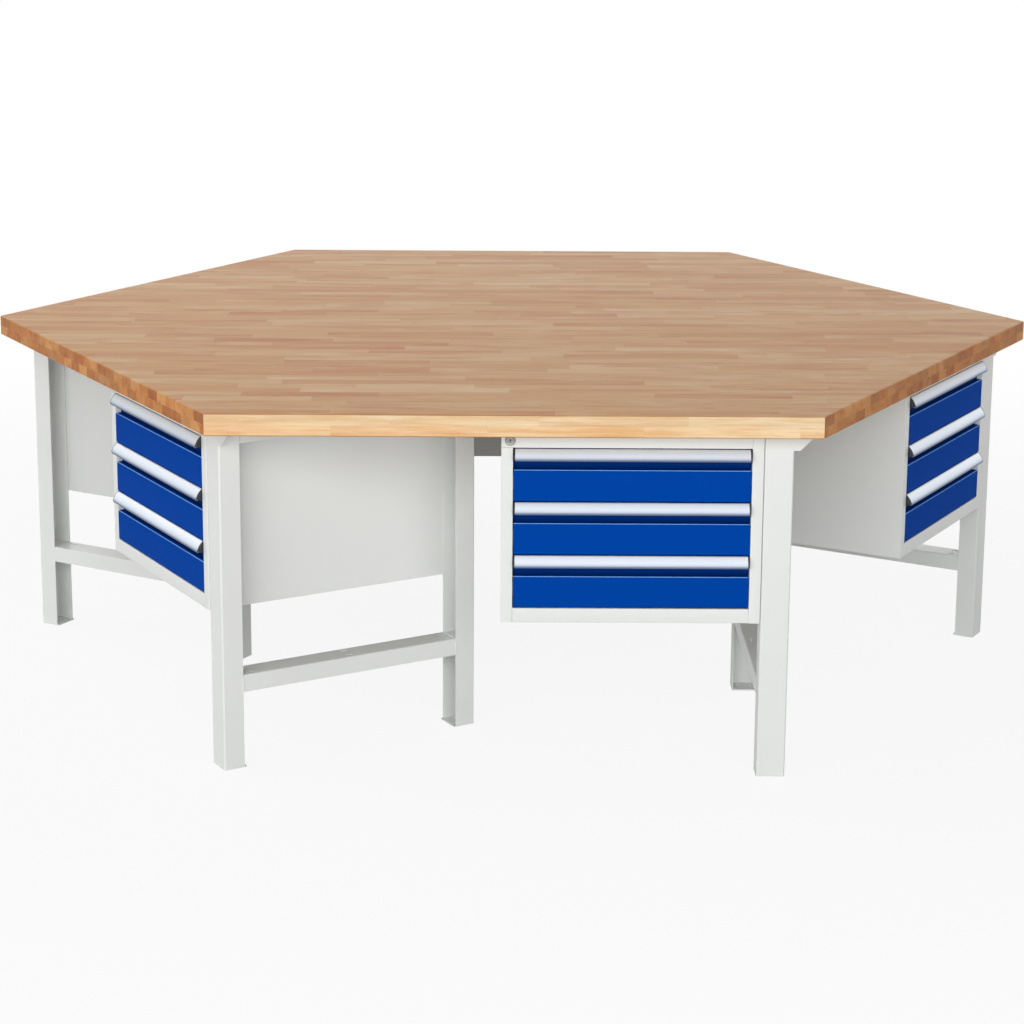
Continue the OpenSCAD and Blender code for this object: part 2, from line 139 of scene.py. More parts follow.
@dataclass(frozen=True)
class Sizes:
    """Sizes of the bench, the same as in the part's source."""

    station_w: float = 1350.0
    top_t: float = 50.0
    bench_h: float = 850.0
    leg_w: float = 65.0
    leg_d: float = 50.0
    frame_depth: float = 650.0
    frame_setback: float = 58.0
    corner_inset: float = 57.0
    rail_h: float = 40.0
    rail_top: float = 220.0
    cab_w: float = 580.0
    cab_d: float = 645.0
    cab_proud: float = 2.0
    cab_gap: float = 1.0
    cab_t: float = 1.2
    post_w: float = 26.0
    post_d: float = 45.0
    strip_top: float = 36.0
    strip_bottom: float = 33.0
    strip_fold: float = 20.0
    upright_w: float = 40.0
    upright_gap: float = 55.0
    front_h: float = 120.0
    front_gap: float = 2.0
    side_gap: float = 1.5
    front_d: float = 20.0
    recess_d: float = 14.0
    panel_h: float = 72.0
    drawer_t: float = 1.0
    wall_h: float = 90.0
    floor_lift: float = 12.0
    rear_gap: float = 50.0
    slide_w: float = 12.7
    slide_h: float = 30.0
    slide_t: float = 1.5
    run_gap: float = 0.4
    slide_lift: float = 8.0
    grip_out: float = 14.0
    grip_drop: float = 22.0
    grip_t: float = 2.5
    grip_bulge: float = 2.0
    grip_leg: float = 24.0
    cap_t: float = 3.0
    lock_in: float = 19.5
    lock_down: float = 19.0
    barrel_d: float = 19.0
    seam: float = 0.1

    @property
    def apothem(self) -> float:
        """Distance from the middle of the top to one of its edges."""
        return self.station_w * math.sin(math.radians(STATION_DEGREES))

    @property
    def under_top(self) -> float:
        """Height of the underside of the top."""
        return self.bench_h - self.top_t

    @property
    def frame_x0(self) -> float:
        """Left side of a leg frame, in its station."""
        return self.station_w / 2 - self.corner_inset - self.leg_w

    @property
    def cab_x0(self) -> float:
        """Left side of a cabinet, in its station."""
        return self.frame_x0 - self.cab_gap - self.cab_w

    @property
    def cab_y0(self) -> float:
        """Front of a cabinet, in its station."""
        return self.frame_setback - self.cab_proud

    @property
    def cab_h(self) -> float:
        """Height of a cabinet."""
        return self.strip_bottom + 3 * self.front_h + 4 * self.front_gap + self.strip_top

    @property
    def lock_z(self) -> float:
        """Height of a lock's axis, in its cabinet."""
        return self.cab_h - self.lock_down

    @property
    def upright_y1(self) -> float:
        """Rear of the uprights, in the cabinet."""
        return self.cab_d - self.cab_t - self.upright_gap

    @property
    def front_ends(self) -> Span:
        """Left and right end of a drawer's front, in the cabinet."""
        left = self.post_w + self.side_gap
        return left, self.cab_w - left


@dataclass(frozen=True)
class Site:
    """Where a station, a leg frame, a cabinet and a drawer lie in the bench."""

    sizes: Sizes

    def station(self, number: int) -> Matrix:
        """Gives a station's placement, with x to the right along its edge and y inwards."""
        turn = Matrix.Rotation(math.radians(STATION_DEGREES * (number - 1)), 4, "Z")
        return turn @ Matrix.Translation(Vector((0, -self.sizes.apothem, 0)) * MM)

    def leg_frame(self, number: int) -> Matrix:
        """Gives a leg frame's placement, from its outer left corner on the floor."""
        corner = Vector((self.sizes.frame_x0, self.sizes.frame_setback, 0))
        return self.station(number) @ Matrix.Translation(corner * MM)

    def cabinet(self, number: int) -> Matrix:
        """Gives a cabinet's placement, from its front lower left corner.

        Args:
            number: Number of its station.

        Returns:
            The placement in the bench.
        """
        s = self.sizes
        corner = Vector((s.cab_x0, s.cab_y0, s.under_top - s.cab_h))
        return self.station(number) @ Matrix.Translation(corner * MM)

    def drawer(self, number: int, level: Level) -> Matrix:
        """Gives a drawer's placement, from its cabinet's left side and its front's lower edge.

        Args:
            number: Number of its station.
            level: Which of the cabinet's drawers it is.

        Returns:
            The placement in the bench.
        """
        s = self.sizes
        lift = s.strip_bottom + s.front_gap + level.value * (s.front_h + s.front_gap)
        return self.cabinet(number) @ Matrix.Translation(Vector((0, 0, lift)) * MM)


# Meshes


def fold_skin(
    path: Sequence[Point], thickness: float, bend: float
) -> tuple[list[Point], list[Point]]:
    """Follows a path of straight stretches with a sheet that is bent at each corner.

    The path is the sheet's one face, and the sheet lies on its left side.

    Args:
        path: Corners of the face before bending.
        thickness: Thickness of the sheet.
        bend: Outer radius of the bends.

    Returns:
        The points of the face and those of the sheet's other face, in the path's order.
    """
    corners = [Vector(p) for p in path]
    ways = [(b - a).normalized() for a, b in zip(corners, corners[1:])]
    sides = [Vector((-w.y, w.x)) for w in ways]
    face, back = [corners[0]], [corners[0] + sides[0] * thickness]
    for corner, way, side, onward in zip(corners[1:-1], ways, sides, ways[1:]):
        turn = math.atan2(way.x * onward.y - way.y * onward.x, way.dot(onward))
        sign = math.copysign(1, turn)
        radius = bend if sign > 0 else bend - thickness
        start = corner - way * radius * math.tan(abs(turn) / 2)
        centre = start + side * sign * radius
        for step in range(BEND_STEPS + 1):
            spoke = Matrix.Rotation(turn * step / BEND_STEPS, 2) @ (side * -sign)
            face.append(centre + spoke * radius)
            back.append(centre + spoke * (radius - sign * thickness))
    face.append(corners[-1])
    back.append(corners[-1] + sides[-1] * thickness)
    return [tuple(p) for p in face], [tuple(p) for p in back]


def fold(path: Sequence[Point], thickness: float, bend: float) -> list[Point]:
    """Gives the closed section of a folded sheet whose one face follows the path."""
    face, back = fold_skin(path, thickness, bend)
    return face + back[::-1]


def rectangle(x0: float, y0: float, x1: float, y1: float) -> list[Point]:
    """Gives the corners of a rectangle."""
    return [(x0, y0), (x1, y0), (x1, y1), (x0, y1)]


def ring(x: float, y: float, radius: float, count: int = 48) -> list[Point]:
    """Gives the points of a circle, or of a regular outline with that many corners."""
    angles = (FULL_TURN * i / count for i in range(count))
    return [(x + radius * math.cos(a), y + radius * math.sin(a)) for a in angles]


def arc(centre: Vector, radius: float, start: float, end: float, count: int) -> list[Vector]:
    """Gives points on an arc between two angles."""
    angles = [start + (end - start) * i / count for i in range(count + 1)]
    return [centre + Vector((math.cos(a), math.sin(a))) * radius for a in angles]


class Form:
    """Collects closed solids in millimetres and makes one mesh of them in metres."""

    def __init__(self) -> None:
        """Starts with nothing in it."""
        self.points: list[Place] = []
        self.faces: list[tuple[int, ...]] = []

    def prism(
        self,
        outline: Sequence[Point],
        plane: Plane,
        start: float,
        end: float,
        holes: Sequence[Sequence[Point]] = (),
    ) -> "Form":
        """Adds a solid with a constant section.

        Args:
            outline: The section's outline.
            plane: The plane that the outline is drawn in.
            start: Where the solid starts, square to the plane.
            end: Where the solid ends.
            holes: Outlines of holes through the solid.

        Returns:
            The form, so that calls can follow each other.
        """
        first, second, third = plane.value
        loops = [list(loop) for loop in (outline, *holes)]
        flat = [p for loop in loops for p in loop]
        base, count = len(self.points), len(flat)
        for height in (start, end):
            for p in flat:
                place = [0.0, 0.0, 0.0]
                place[first], place[second], place[third] = p[0], p[1], height
                self.points.append(tuple(place))
        if holes:
            caps = tessellate_polygon([[Vector((*p, 0)) for p in loop] for loop in loops])
        else:
            caps = [tuple(range(count))]
        for cap in caps:
            self.faces.append(tuple(base + i for i in cap))
            self.faces.append(tuple(base + count + i for i in reversed(cap)))
        offset = base
        for loop in loops:
            size = len(loop)
            for i in range(size):
                a, b = offset + i, offset + (i + 1) % size
                self.faces.append((a, b, b + count, a + count))
            offset += size
        return self

    def tube(self, line: Sequence[Vector], radii: Sequence[float], sides: int = 8) -> "Form":
        """Adds a round bar along a line whose thickness may change.

        Args:
            line: Points of the bar's middle line.
            radii: Radius at each point.
            sides: Corners of its section.

        Returns:
            The form, so that calls can follow each other.
        """
        base = len(self.points)
        way = (line[-1] - line[0]).normalized()
        across = way.orthogonal().normalized()
        over = way.cross(across)
        for point, radius in zip(line, radii):
            for i in range(sides):
                angle = FULL_TURN * i / sides
                spoke = across * math.cos(angle) + over * math.sin(angle)
                self.points.append(tuple(point + spoke * radius))
        for n in range(len(line) - 1):
            for i in range(sides):
                a, b = base + n * sides + i, base + n * sides + (i + 1) % sides
                self.faces.append((a, b, b + sides, a + sides))
        last = base + (len(line) - 1) * sides
        self.faces.append(tuple(base + i for i in range(sides)))
        self.faces.append(tuple(last + i for i in reversed(range(sides))))
        return self

    def turned(self, profile: Sequence[Point], x: float, z: float, count: int = 56) -> "Form":
        """Adds a ring turned about an axis that runs along y.

        Args:
            profile: The ring's closed section, as distances from the axis and places along y.
            x: Place of the axis.
            z: Height of the axis.
            count: Steps round the axis.

        Returns:
            The form, so that calls can follow each other.
        """
        base, size = len(self.points), len(profile)
        for i in range(count):
            angle = FULL_TURN * i / count
            for radius, y in profile:
                out, up = radius * math.cos(angle), radius * math.sin(angle)
                self.points.append((x + out, y, z + up))
        for i in range(count):
            here, there = base + i * size, base + (i + 1) % count * size
            for j in range(size):
                k = (j + 1) % size
                self.faces.append((here + j, here + k, there + k, there + j))
        return self

    def level_sheet(self, half: float, cells: int) -> "Form":
        """Adds a square sheet of square cells at height 0, round the origin.

        Args:
            half: Half of its side.
            cells: Cells along each side.

        Returns:
            The form, so that calls can follow each other.
        """
        row = cells + 1
        step = 2 * half / cells
        for i in range(row):
            for j in range(row):
                self.points.append((-half + i * step, -half + j * step, 0.0))
        for i in range(cells):
            for j in range(cells):
                a = i * row + j
                self.faces.append((a, a + row, a + row + 1, a + 1))
        return self

    def mesh(
        self, name: str, smooth_below: float = SMOOTH_BELOW, edge: float = 0.0
    ) -> bpy.types.Mesh:
        """Makes the mesh, with soft shading over shallow edges.

        Args:
            name: Name of the mesh.
            smooth_below: Angle in degrees under which an edge is shaded smooth.
            edge: Width of the bevel on the sharp edges, or 0 for none.

        Returns:
            The mesh in metres.
        """
        mesh = bpy.data.meshes.new(name)
        mesh.from_pydata([tuple(c * MM for c in p) for p in self.points], [], self.faces)
        shell = bmesh.new()
        shell.from_mesh(mesh)
        bmesh.ops.recalc_face_normals(shell, faces=shell.faces)
        limit = math.radians(smooth_below)
        if edge:
            closed = [e for e in shell.edges if len(e.link_faces) == 2]
            sharp = [e for e in closed if e.calc_face_angle() > limit]
            bmesh.ops.bevel(
                shell,
                geom=sharp,
                offset=edge * MM,
                segments=BEVEL_STEPS,
                profile=0.5,
                affect="EDGES",
            )
        shell.to_mesh(mesh)
        shell.free()
        mesh.shade_smooth()
        mesh.set_sharp_from_angle(angle=limit)
        return mesh


def cut_mesh(mesh: bpy.types.Mesh, cutter: bpy.types.Mesh) -> bpy.types.Mesh:
    """Cuts one mesh out of another.

    Args:
        mesh: The mesh to cut.
        cutter: The mesh whose room is taken away.

    Returns:
        The mesh that is left.
    """
    body = bpy.data.objects.new("cut_body", mesh)
    tool = bpy.data.objects.new("cut_tool", cutter)
    for piece in (body, tool):
        bpy.context.scene.collection.objects.link(piece)
    change = body.modifiers.new("cut", "BOOLEAN")
    change.operation, change.solver, change.object = "DIFFERENCE", "EXACT", tool
    graph = bpy.context.evaluated_depsgraph_get()
    result = bpy.data.meshes.new_from_object(body.evaluated_get(graph))
    result.name = mesh.name + "_cut"
    for piece in (body, tool):
        bpy.data.objects.remove(piece)
    result.set_sharp_from_angle(angle=math.radians(SMOOTH_BELOW))
    return result


# Shader sums


class Value:
    """An output socket of a material's node that takes part in sums like a number."""

    def __init__(self, graph: "Graph", socket: bpy.types.NodeSocket) -> None:
        """Keeps the graph that the socket belongs to, and the socket."""
        self.graph = graph
        self.socket = socket

    def math(self, operation: str, *others: Term) -> "Value":
        """Applies a Math node's operation to this value and the others."""
        return self.graph.math(operation, self, *others)

    def __add__(self, other: Term) -> "Value":
        """Adds."""
        return self.math("ADD", other)

    __radd__ = __add__

    def __mul__(self, other: Term) -> "Value":
        """Multiplies."""
        return self.math("MULTIPLY", other)

    __rmul__ = __mul__

    def __sub__(self, other: Term) -> "Value":
        """Subtracts."""
        return self.math("SUBTRACT", other)

    def __rsub__(self, other: float) -> "Value":
        """Subtracts this value from a number."""
        return self.graph.math("SUBTRACT", other, self)

    def __truediv__(self, other: Term) -> "Value":
        """Divides."""
        return self.math("DIVIDE", other)

    def __rtruediv__(self, other: float) -> "Value":
        """Divides a number by this value."""
        return self.graph.math("DIVIDE", other, self)

    def __abs__(self) -> "Value":
        """Drops the sign."""
        return self.math("ABSOLUTE")

    def floor(self) -> "Value":
        """Rounds down to a whole number."""
        return self.math("FLOOR")

    def part(self) -> "Value":
        """Keeps the part behind the decimal point."""
        return self.math("FRACT")

    def ramp(self, low: float, high: float, start: float = 0.0, end: float = 1.0) -> "Value":
        """Goes smoothly from one result to another while this value rises.

        Args:
            low: Value at which the result starts to change.
            high: Value from which it changes no more.
            start: Result up to low.
            end: Result from high on.

        Returns:
            The result.
        """
        sockets = {0: self, 1: low, 2: high, 3: start, 4: end}
        node = self.graph.node(
            "ShaderNodeMapRange", {"interpolation_type": "SMOOTHSTEP"}, sockets
        )
        return Value(self.graph, node.outputs[0])


@dataclass(frozen=True)
class Noise:
    """A noise's waves in a metre along x, y and z, how many finer ones it has, and their share."""

    x: float
    y: float
    z: float
    detail: float
    roughness: float

    @classmethod
    def even(cls, waves: float, detail: float = 2.0, roughness: float = 0.5) -> "Noise":
        """Gives a noise that is as fine in every direction."""
        return cls(waves, waves, waves, detail, roughness)

    @classmethod
    def drawn(cls, along: float, across: float, detail: float, roughness: float) -> "Noise":
        """Gives a noise that is drawn out along x."""
        return cls(along, across, across, detail, roughness)


class Graph:
    """The nodes of one material or world, written as sums and single nodes."""

    def __init__(self, owner: bpy.types.Material | bpy.types.World) -> None:
        """Turns on the owner's nodes and clears them.

        Args:
            owner: The material or world that the nodes belong to.
        """
        self.owner = owner
        owner.use_nodes = True
        self.tree = owner.node_tree
        self.tree.nodes.clear()

    @classmethod
    def material(cls, name: str) -> "Graph":
        """Starts a new material's nodes."""
        return cls(bpy.data.materials.new(name))

    def node(
        self,
        kind: str,
        settings: dict[str, Any] | None = None,
        sockets: dict[str | int, Any] | None = None,
    ) -> bpy.types.Node:
        """Makes any node of the material.

        Args:
            kind: The node's type.
            settings: The node's own settings, which are set first. The setting stops
                gives a ramp's places and colours.
            sockets: Values or links of its input sockets, by name or number.

        Returns:
            The node.
        """
        node = self.tree.nodes.new(kind)
        for key, setting in (settings or {}).items():
            if key == "stops":
                elements = node.color_ramp.elements
                while len(elements) < len(setting):
                    elements.new(0.5)
                for element, (place, colour) in zip(elements, setting):
                    element.position, element.color = place, (*colour, 1)
            else:
                setattr(node, key, setting)
        for key, given in (sockets or {}).items():
            if isinstance(given, Value):
                self.tree.links.new(given.socket, node.inputs[key])
            elif isinstance(given, bpy.types.NodeSocket):
                self.tree.links.new(given, node.inputs[key])
            else:
                node.inputs[key].default_value = given
        return node

    def math(self, operation: str, *terms: Term) -> Value:
        """Adds a Math node for the terms."""
        node = self.node("ShaderNodeMath", {"operation": operation}, dict(enumerate(terms)))
        return Value(self, node.outputs[0])

    def coordinates(self, kind: str) -> tuple[Value, Value, Value]:
        """Gives the three parts of one of the surface's own coordinates.

        Args:
            kind: Name of the coordinates.

        Returns:
            Their x, y and z.
        """
        spot = self.node("ShaderNodeTexCoord").outputs[kind]
        parts = self.node("ShaderNodeSeparateXYZ", None, {0: spot})
        return tuple(Value(self, o) for o in parts.outputs)

    def place(self) -> tuple[Value, Value, Value]:
        """Gives x, y and z of the surface in the piece's own frame, in metres."""
        return self.coordinates("Object")

    def facing(self) -> tuple[Value, Value, Value]:
        """Gives x, y and z of the surface's own direction."""
        return self.coordinates("Normal")

    def vector(self, x: Term, y: Term, z: Term) -> bpy.types.NodeSocket:
        """Joins three values to a vector."""
        return self.node("ShaderNodeCombineXYZ", None, {0: x, 1: y, 2: z}).outputs[0]

    def noise(
        self, noise: Noise, spot: Sequence[Term], shift: Sequence[Term] = (0.0, 0.0, 0.0)
    ) -> Value:
        """Gives smooth noise from 0 to 1.

        Args:
            noise: The noise's waves and roughness.
            spot: The place, in metres.
            shift: What is added along x, y and z, in waves.

        Returns:
            The noise at the place.
        """
        waves = zip(spot, (noise.x, noise.y, noise.z), shift)
        spread = [axis * wave + by if by else axis * wave for axis, wave, by in waves]
        sockets = {
            "Vector": self.vector(*spread),
            "Scale": 1.0,
            "Detail": noise.detail,
            "Roughness": noise.roughness,
        }
        return Value(self, self.node("ShaderNodeTexNoise", None, sockets).outputs[0])

    def chance(self, x: Term, y: Term, z: Term) -> Value:
        """Gives a number from 0 to 1 that is new for each whole x, y and z.

        Args:
            x: First whole number.
            y: Second whole number.
            z: Third whole number, which also tells one draw from another.

        Returns:
            The number.
        """
        sockets = {"Vector": self.vector(x, y, z)}
        node = self.node("ShaderNodeTexWhiteNoise", {"noise_dimensions": "3D"}, sockets)
        return Value(self, node.outputs["Value"])

    def colours(self, value: Value, stops: Tones) -> bpy.types.NodeSocket:
        """Turns a value into a colour by a row of stops."""
        return self.node("ShaderNodeValToRGB", {"stops": stops}, {0: value}).outputs[0]

    def mix(self, share: Term, low: Any, high: Any, blend: str = "MIX") -> bpy.types.NodeSocket:
        """Mixes two colours, or blends the second over the first.

        Args:
            share: Share of the second colour.
            low: First colour, as numbers or a link.
            high: Second colour, as numbers or a link.
            blend: The Mix node's way of blending.

        Returns:
            The mixed colour.
        """
        first, second = ((*c, 1) if isinstance(c, tuple) else c for c in (low, high))
        settings = {
            "data_type": "RGBA",
            "blend_type": blend,
            "clamp_factor": True,
            "clamp_result": False,
        }
        node = self.node("ShaderNodeMix", settings, {0: share, 6: first, 7: second})
        return node.outputs[2]

    def tint(self, colour: Any, by: bpy.types.NodeSocket) -> bpy.types.NodeSocket:
        """Multiplies a colour by another."""
        return self.mix(1.0, colour, by, "MULTIPLY")

    def scaled(self, colour: Any, factor: Value) -> bpy.types.NodeSocket:
        """Multiplies a colour by a number."""
        sockets = {0: colour, 3: factor}
        return self.node("ShaderNodeVectorMath", {"operation": "SCALE"}, sockets).outputs[0]

    def bump(self, height: Value, depth: float, strength: float) -> bpy.types.NodeSocket:
        """Turns a height from 0 to 1 into a normal, with its depth in metres."""
        sockets = {"Strength": strength, "Distance": depth, "Height": height}
        return self.node("ShaderNodeBump", None, sockets).outputs[0]

    def surface(self, sockets: dict[str, Any]) -> bpy.types.Material:
        """Gives the material a Principled shader with these sockets."""
        return self.finish(self.node("ShaderNodeBsdfPrincipled", None, sockets))

    def finish(self, shader: bpy.types.Node) -> bpy.types.Material:
        """Links the shader to the output and gives the material."""
        self.node("ShaderNodeOutputMaterial", None, {"Surface": shader.outputs[0]})
        return self.owner


# Finishes


@dataclass(frozen=True)
class Beech:
    """Oiled beech, glued from staves in two layers, whose staves are jointed lengthwise.

    Lengths are in metres. Tones multiply the heartwood's colour. A span gives the two
    values between which a mask or a shade goes from none to all.
    """

    name: str = "beech_staves"
    heartwood: Colour = linear(195, 150, 102)
    stave_w: float = 0.046
    stave_l: float = 0.36
    layer_t: float = 0.0255
    underside: float = 0.7995
    layer_shift: float = 0.41
    first_row: float = 60.0
    first_stave: float = 40.0
    start_reach: float = 11.0
    stretch_least: float = 0.6
    stretch_reach: float = 0.8
    drift_reach: float = 30.0
    calm: Colour = (0.99, 0.97, 0.96)
    tones: Tones = (
        (0.0, (0.89, 0.74, 0.66)),
        (0.30, (0.976, 0.926, 0.895)),
        (0.65, (1.014, 1.039, 1.07)),
        (1.0, (1.089, 1.25, 1.47)),
    )
    block_tones: Tones = (
        (0.0, (0.62, 0.41, 0.28)),
        (0.30, (0.80, 0.58, 0.39)),
        (0.75, (0.91, 0.68, 0.46)),
        (1.0, (1.04, 0.81, 0.57)),
    )
    end_turn: Span = (0.5, 0.8)
    side_turn: Span = (0.8, 0.95)
    side_calm: float = 0.6
    end_calm: float = 0.7
    sway: Noise = Noise.drawn(4.0, 6.0, 2.0, 0.5)
    sway_reach: float = 0.016
    bands: Noise = Noise.drawn(3.2, 36.0, 3.0, 0.6)
    band_span: Span = (0.46, 0.68)
    band_tones: tuple[Colour, Colour] = ((1.03, 1.05, 1.06), (0.88, 0.72, 0.66))
    clouds: Noise = Noise.drawn(6.0, 24.0, 3.0, 0.6)
    cloud_shift: float = 7.0
    cloud_span: Span = (0.50, 0.72)
    cloud_tones: tuple[Colour, Colour] = ((0.98, 0.96, 0.93), (1.07, 1.18, 1.36))
    lines: Noise = Noise.drawn(5.0, 520.0, 3.0, 0.6)
    line_shade: Span = (0.05, -0.06)
    flecks: Noise = Noise.drawn(110.0, 1500.0, 1.0, 0.4)
    fleck_span: Span = (0.62, 0.72)
    fleck_shade: float = 0.12
    blotches: Noise = Noise(5.0, 40.0, 85.0, 4.0, 0.6)
    blotch_span: Span = (0.34, 0.62)
    blotch_share: float = 0.7
    upper_share: float = 0.30
    edge_tones: tuple[Colour, Colour] = ((1.41, 1.60, 1.78), (1.62, 2.28, 3.35))
    joint_span: Span = (0.486, 0.497)
    butt_span: Span = (0.4986, 0.4997)
    joint_shade: float = 0.12
    gloss: float = 0.12
    roughness: Span = (0.48, 0.60)
    fleck_roughness: float = 0.1
    line_relief: float = 0.6
    fleck_relief: float = 0.4
    joint_relief: float = 0.6
    depth: float = 0.00012
    relief: float = 0.5

    def make(self) -> bpy.types.Material:
        """Makes the material.

        Returns:
            The finished material.
        """
        g = Graph.material(self.name)
        x, y, z = spot = g.place()
        layer = ((z - self.underside) / self.layer_t).floor()
        across = y / self.stave_w + layer * self.layer_shift + self.first_row
        row = across.floor()
        stretch = g.chance(row, layer, Draw.LENGTH.value) * self.stretch_reach
        stretch = stretch + self.stretch_least
        start = g.chance(row, layer, Draw.START.value) * self.start_reach
        along = x / self.stave_l * stretch + start + self.first_stave
        piece = along.floor()
        drift = g.chance(row, piece, layer + Draw.DRIFT.value) * self.drift_reach

        side_x, side_y, _ = g.facing()
        end_grain = abs(side_x).ramp(*self.end_turn)
        long_edge = abs(side_y).ramp(*self.side_turn)
        lively = 1.0 - long_edge * self.side_calm
        stave = g.colours(g.chance(row, piece, layer), self.tones)
        wood = g.tint(self.heartwood, g.mix(lively, self.calm, stave))

        sway = g.noise(self.sway, spot, (drift, 0.0, 0.0)) * self.sway_reach
        swayed = (x, y + sway, z)
        bands = g.noise(self.bands, swayed, (drift, drift, 0.0)).ramp(*self.band_span)
        clouds = g.noise(self.clouds, swayed, (0.0, 0.0, self.cloud_shift))
        clouds = clouds.ramp(*self.cloud_span)
        lines = g.noise(self.lines, spot, (drift, 0.0, drift))
        fleck = g.noise(self.flecks, spot, (0.0, drift, 0.0)).ramp(*self.fleck_span)
        wood = g.tint(wood, g.mix(bands * lively, *self.band_tones))
        wood = g.tint(wood, g.mix(clouds * lively, *self.cloud_tones))
        fine = lines.ramp(*MEDIUM, *self.line_shade) - fleck * self.fleck_shade
        wood = g.scaled(wood, fine * (1.0 - end_grain * self.end_calm) + 1.0)

        block = g.colours(g.chance(row, layer, Draw.BLOCK.value), self.block_tones)
        wood = g.mix(end_grain, wood, g.tint(wood, block))
        blotch = g.noise(self.blotches, spot, (drift, 0.0, drift))
        upper = layer.ramp(0.0, 1.0, 0.0, self.upper_share)
        paleness = blotch.ramp(*self.blotch_span, 0.0, self.blotch_share) + upper
        wood = g.mix(long_edge, wood, g.tint(wood, g.mix(paleness, *self.edge_tones)))

        joint = abs(across.part() - 0.5).ramp(*self.joint_span)
        butt = abs(along.part() - 0.5).ramp(*self.butt_span)
        wood = g.scaled(wood, 1.0 - joint.math("MAXIMUM", butt) * self.joint_shade)
        height = lines * self.line_relief - fleck * self.fleck_relief
        rough = lines.ramp(*WIDE, *self.roughness) + fleck * self.fleck_roughness
        return g.surface(
            {
                "Base Color": wood,
                "Roughness": rough,
                "Specular IOR Level": self.gloss,
                "Normal": g.bump(height - joint * self.joint_relief, self.depth, self.relief),
            }
        )


@dataclass(frozen=True)
class PowderCoat:
    """Powder coated sheet steel with a fine even orange peel."""

    name: str
    colour: Colour
    roughness: Span = (0.38, 0.48)
    gloss: float = 0.5
    peel: Noise = Noise.even(900.0)
    clouds: Noise = Noise.even(3.1, 3.0)
    cloud_shade: Span = (0.985, 1.012)
    depth: float = 0.00003
    relief: float = 0.6

    def shade(self, g: Graph, spot: Sequence[Value]) -> bpy.types.NodeSocket:
        """Gives the coat's faintly cloudy colour at a spot."""
        clouds = g.noise(self.clouds, spot)
        return g.scaled(self.colour, clouds.ramp(*NARROW, *self.cloud_shade))

    def make(self) -> bpy.types.Material:
        """Makes the material.

        Returns:
            The finished material.
        """
        g = Graph.material(self.name)
        spot = g.place()
        peel = g.noise(self.peel, spot)
        return g.surface(
            {
                "Base Color": self.shade(g, spot),
                "Roughness": peel.ramp(*NARROW, *self.roughness),
                "Specular IOR Level": self.gloss,
                "Normal": g.bump(peel, self.depth, self.relief),
            }
        )


@dataclass(frozen=True)
class FrontCoat(PowderCoat):
    """The coat of a drawer's front, with painted highlight and painted shade in its colour.

    A pale painted highlight lies on the panel's upper bend, and painted shade lies in the
    recess and at the lower bend. Heights are from the front's lower edge or, for a rise,
    from the panel's upper one. Depths are from the face. Both are in metres.
    """

    ledge: float = 0.072
    # Colour of the painted highlight on the panel's upper bend.
    ledge_colour: Colour = linear(135, 188, 255)
    ledge_rise: Span = (-0.0013, -0.0008)
    ledge_depth: Span = (0.0020, 0.0028)
    recess_rise: Span = (-0.001, 0.026)
    recess_depth: Span = (0.008, 0.012)
    # Painted shade in the recess: darkest at the ledge, lighter up towards the handle.
    recess_shade: Span = (0.28, 0.95)
    foot: Span = (0.0004, 0.0026)
    # Painted shade on the lower bend, over the front's lowest few millimetres.
    foot_shade: float = 0.35

    def shade(self, g: Graph, spot: Sequence[Value]) -> bpy.types.NodeSocket:
        """Gives the coat's colour, with its painted highlight and its painted shade.

        Args:
            g: The nodes that it is made with.
            spot: The place on the front.

        Returns:
            The colour there.
        """
        _, y, z = spot
        ledge_low, ledge_high = (self.ledge + rise for rise in self.ledge_rise)
        recess_low, recess_high = (self.ledge + rise for rise in self.recess_rise)
        # Mask of the painted highlight on the panel's upper bend.
        painted_ledge_highlight = z.ramp(ledge_low, ledge_high) * y.ramp(*self.ledge_depth, 1.0, 0.0)
        # Painted shade in the recess, behind recess_depth, darker down towards the ledge.
        deep = y.ramp(*self.recess_depth)
        recess = deep * z.ramp(recess_low, recess_high, *self.recess_shade)
        colour = g.scaled(super().shade(g, spot), 1.0 - deep + recess)
        # Painted shade at the lower bend.
        colour = g.scaled(colour, z.ramp(*self.foot, self.foot_shade, 1.0))
        # Lays the painted highlight over the coat.
        return g.mix(painted_ledge_highlight, colour, self.ledge_colour)


@dataclass(frozen=True)
class ZincPlate:
    """Zinc plated steel with a fine even spangle."""

    name: str = "zinc_plate"
    colour: Colour = linear(188, 192, 196)
    spangle: Noise = Noise.even(160.0, 3.0, 0.6)
    shade: Span = (0.965, 1.03)
    metallic: float = 0.9
    roughness: Span = (0.31, 0.43)
    depth: float = 0.00001
    relief: float = 0.5

    def make(self) -> bpy.types.Material:
        """Makes the material.

        Returns:
            The finished material.
        """
        g = Graph.material(self.name)
        spangle = g.noise(self.spangle, g.place())
        return g.surface(
            {
                "Base Color": g.scaled(self.colour, spangle.ramp(*MEDIUM, *self.shade)),
                "Metallic": self.metallic,
                "Roughness": spangle.ramp(*WIDE, *self.roughness),
                "Normal": g.bump(spangle, self.depth, self.relief),
            }
        )


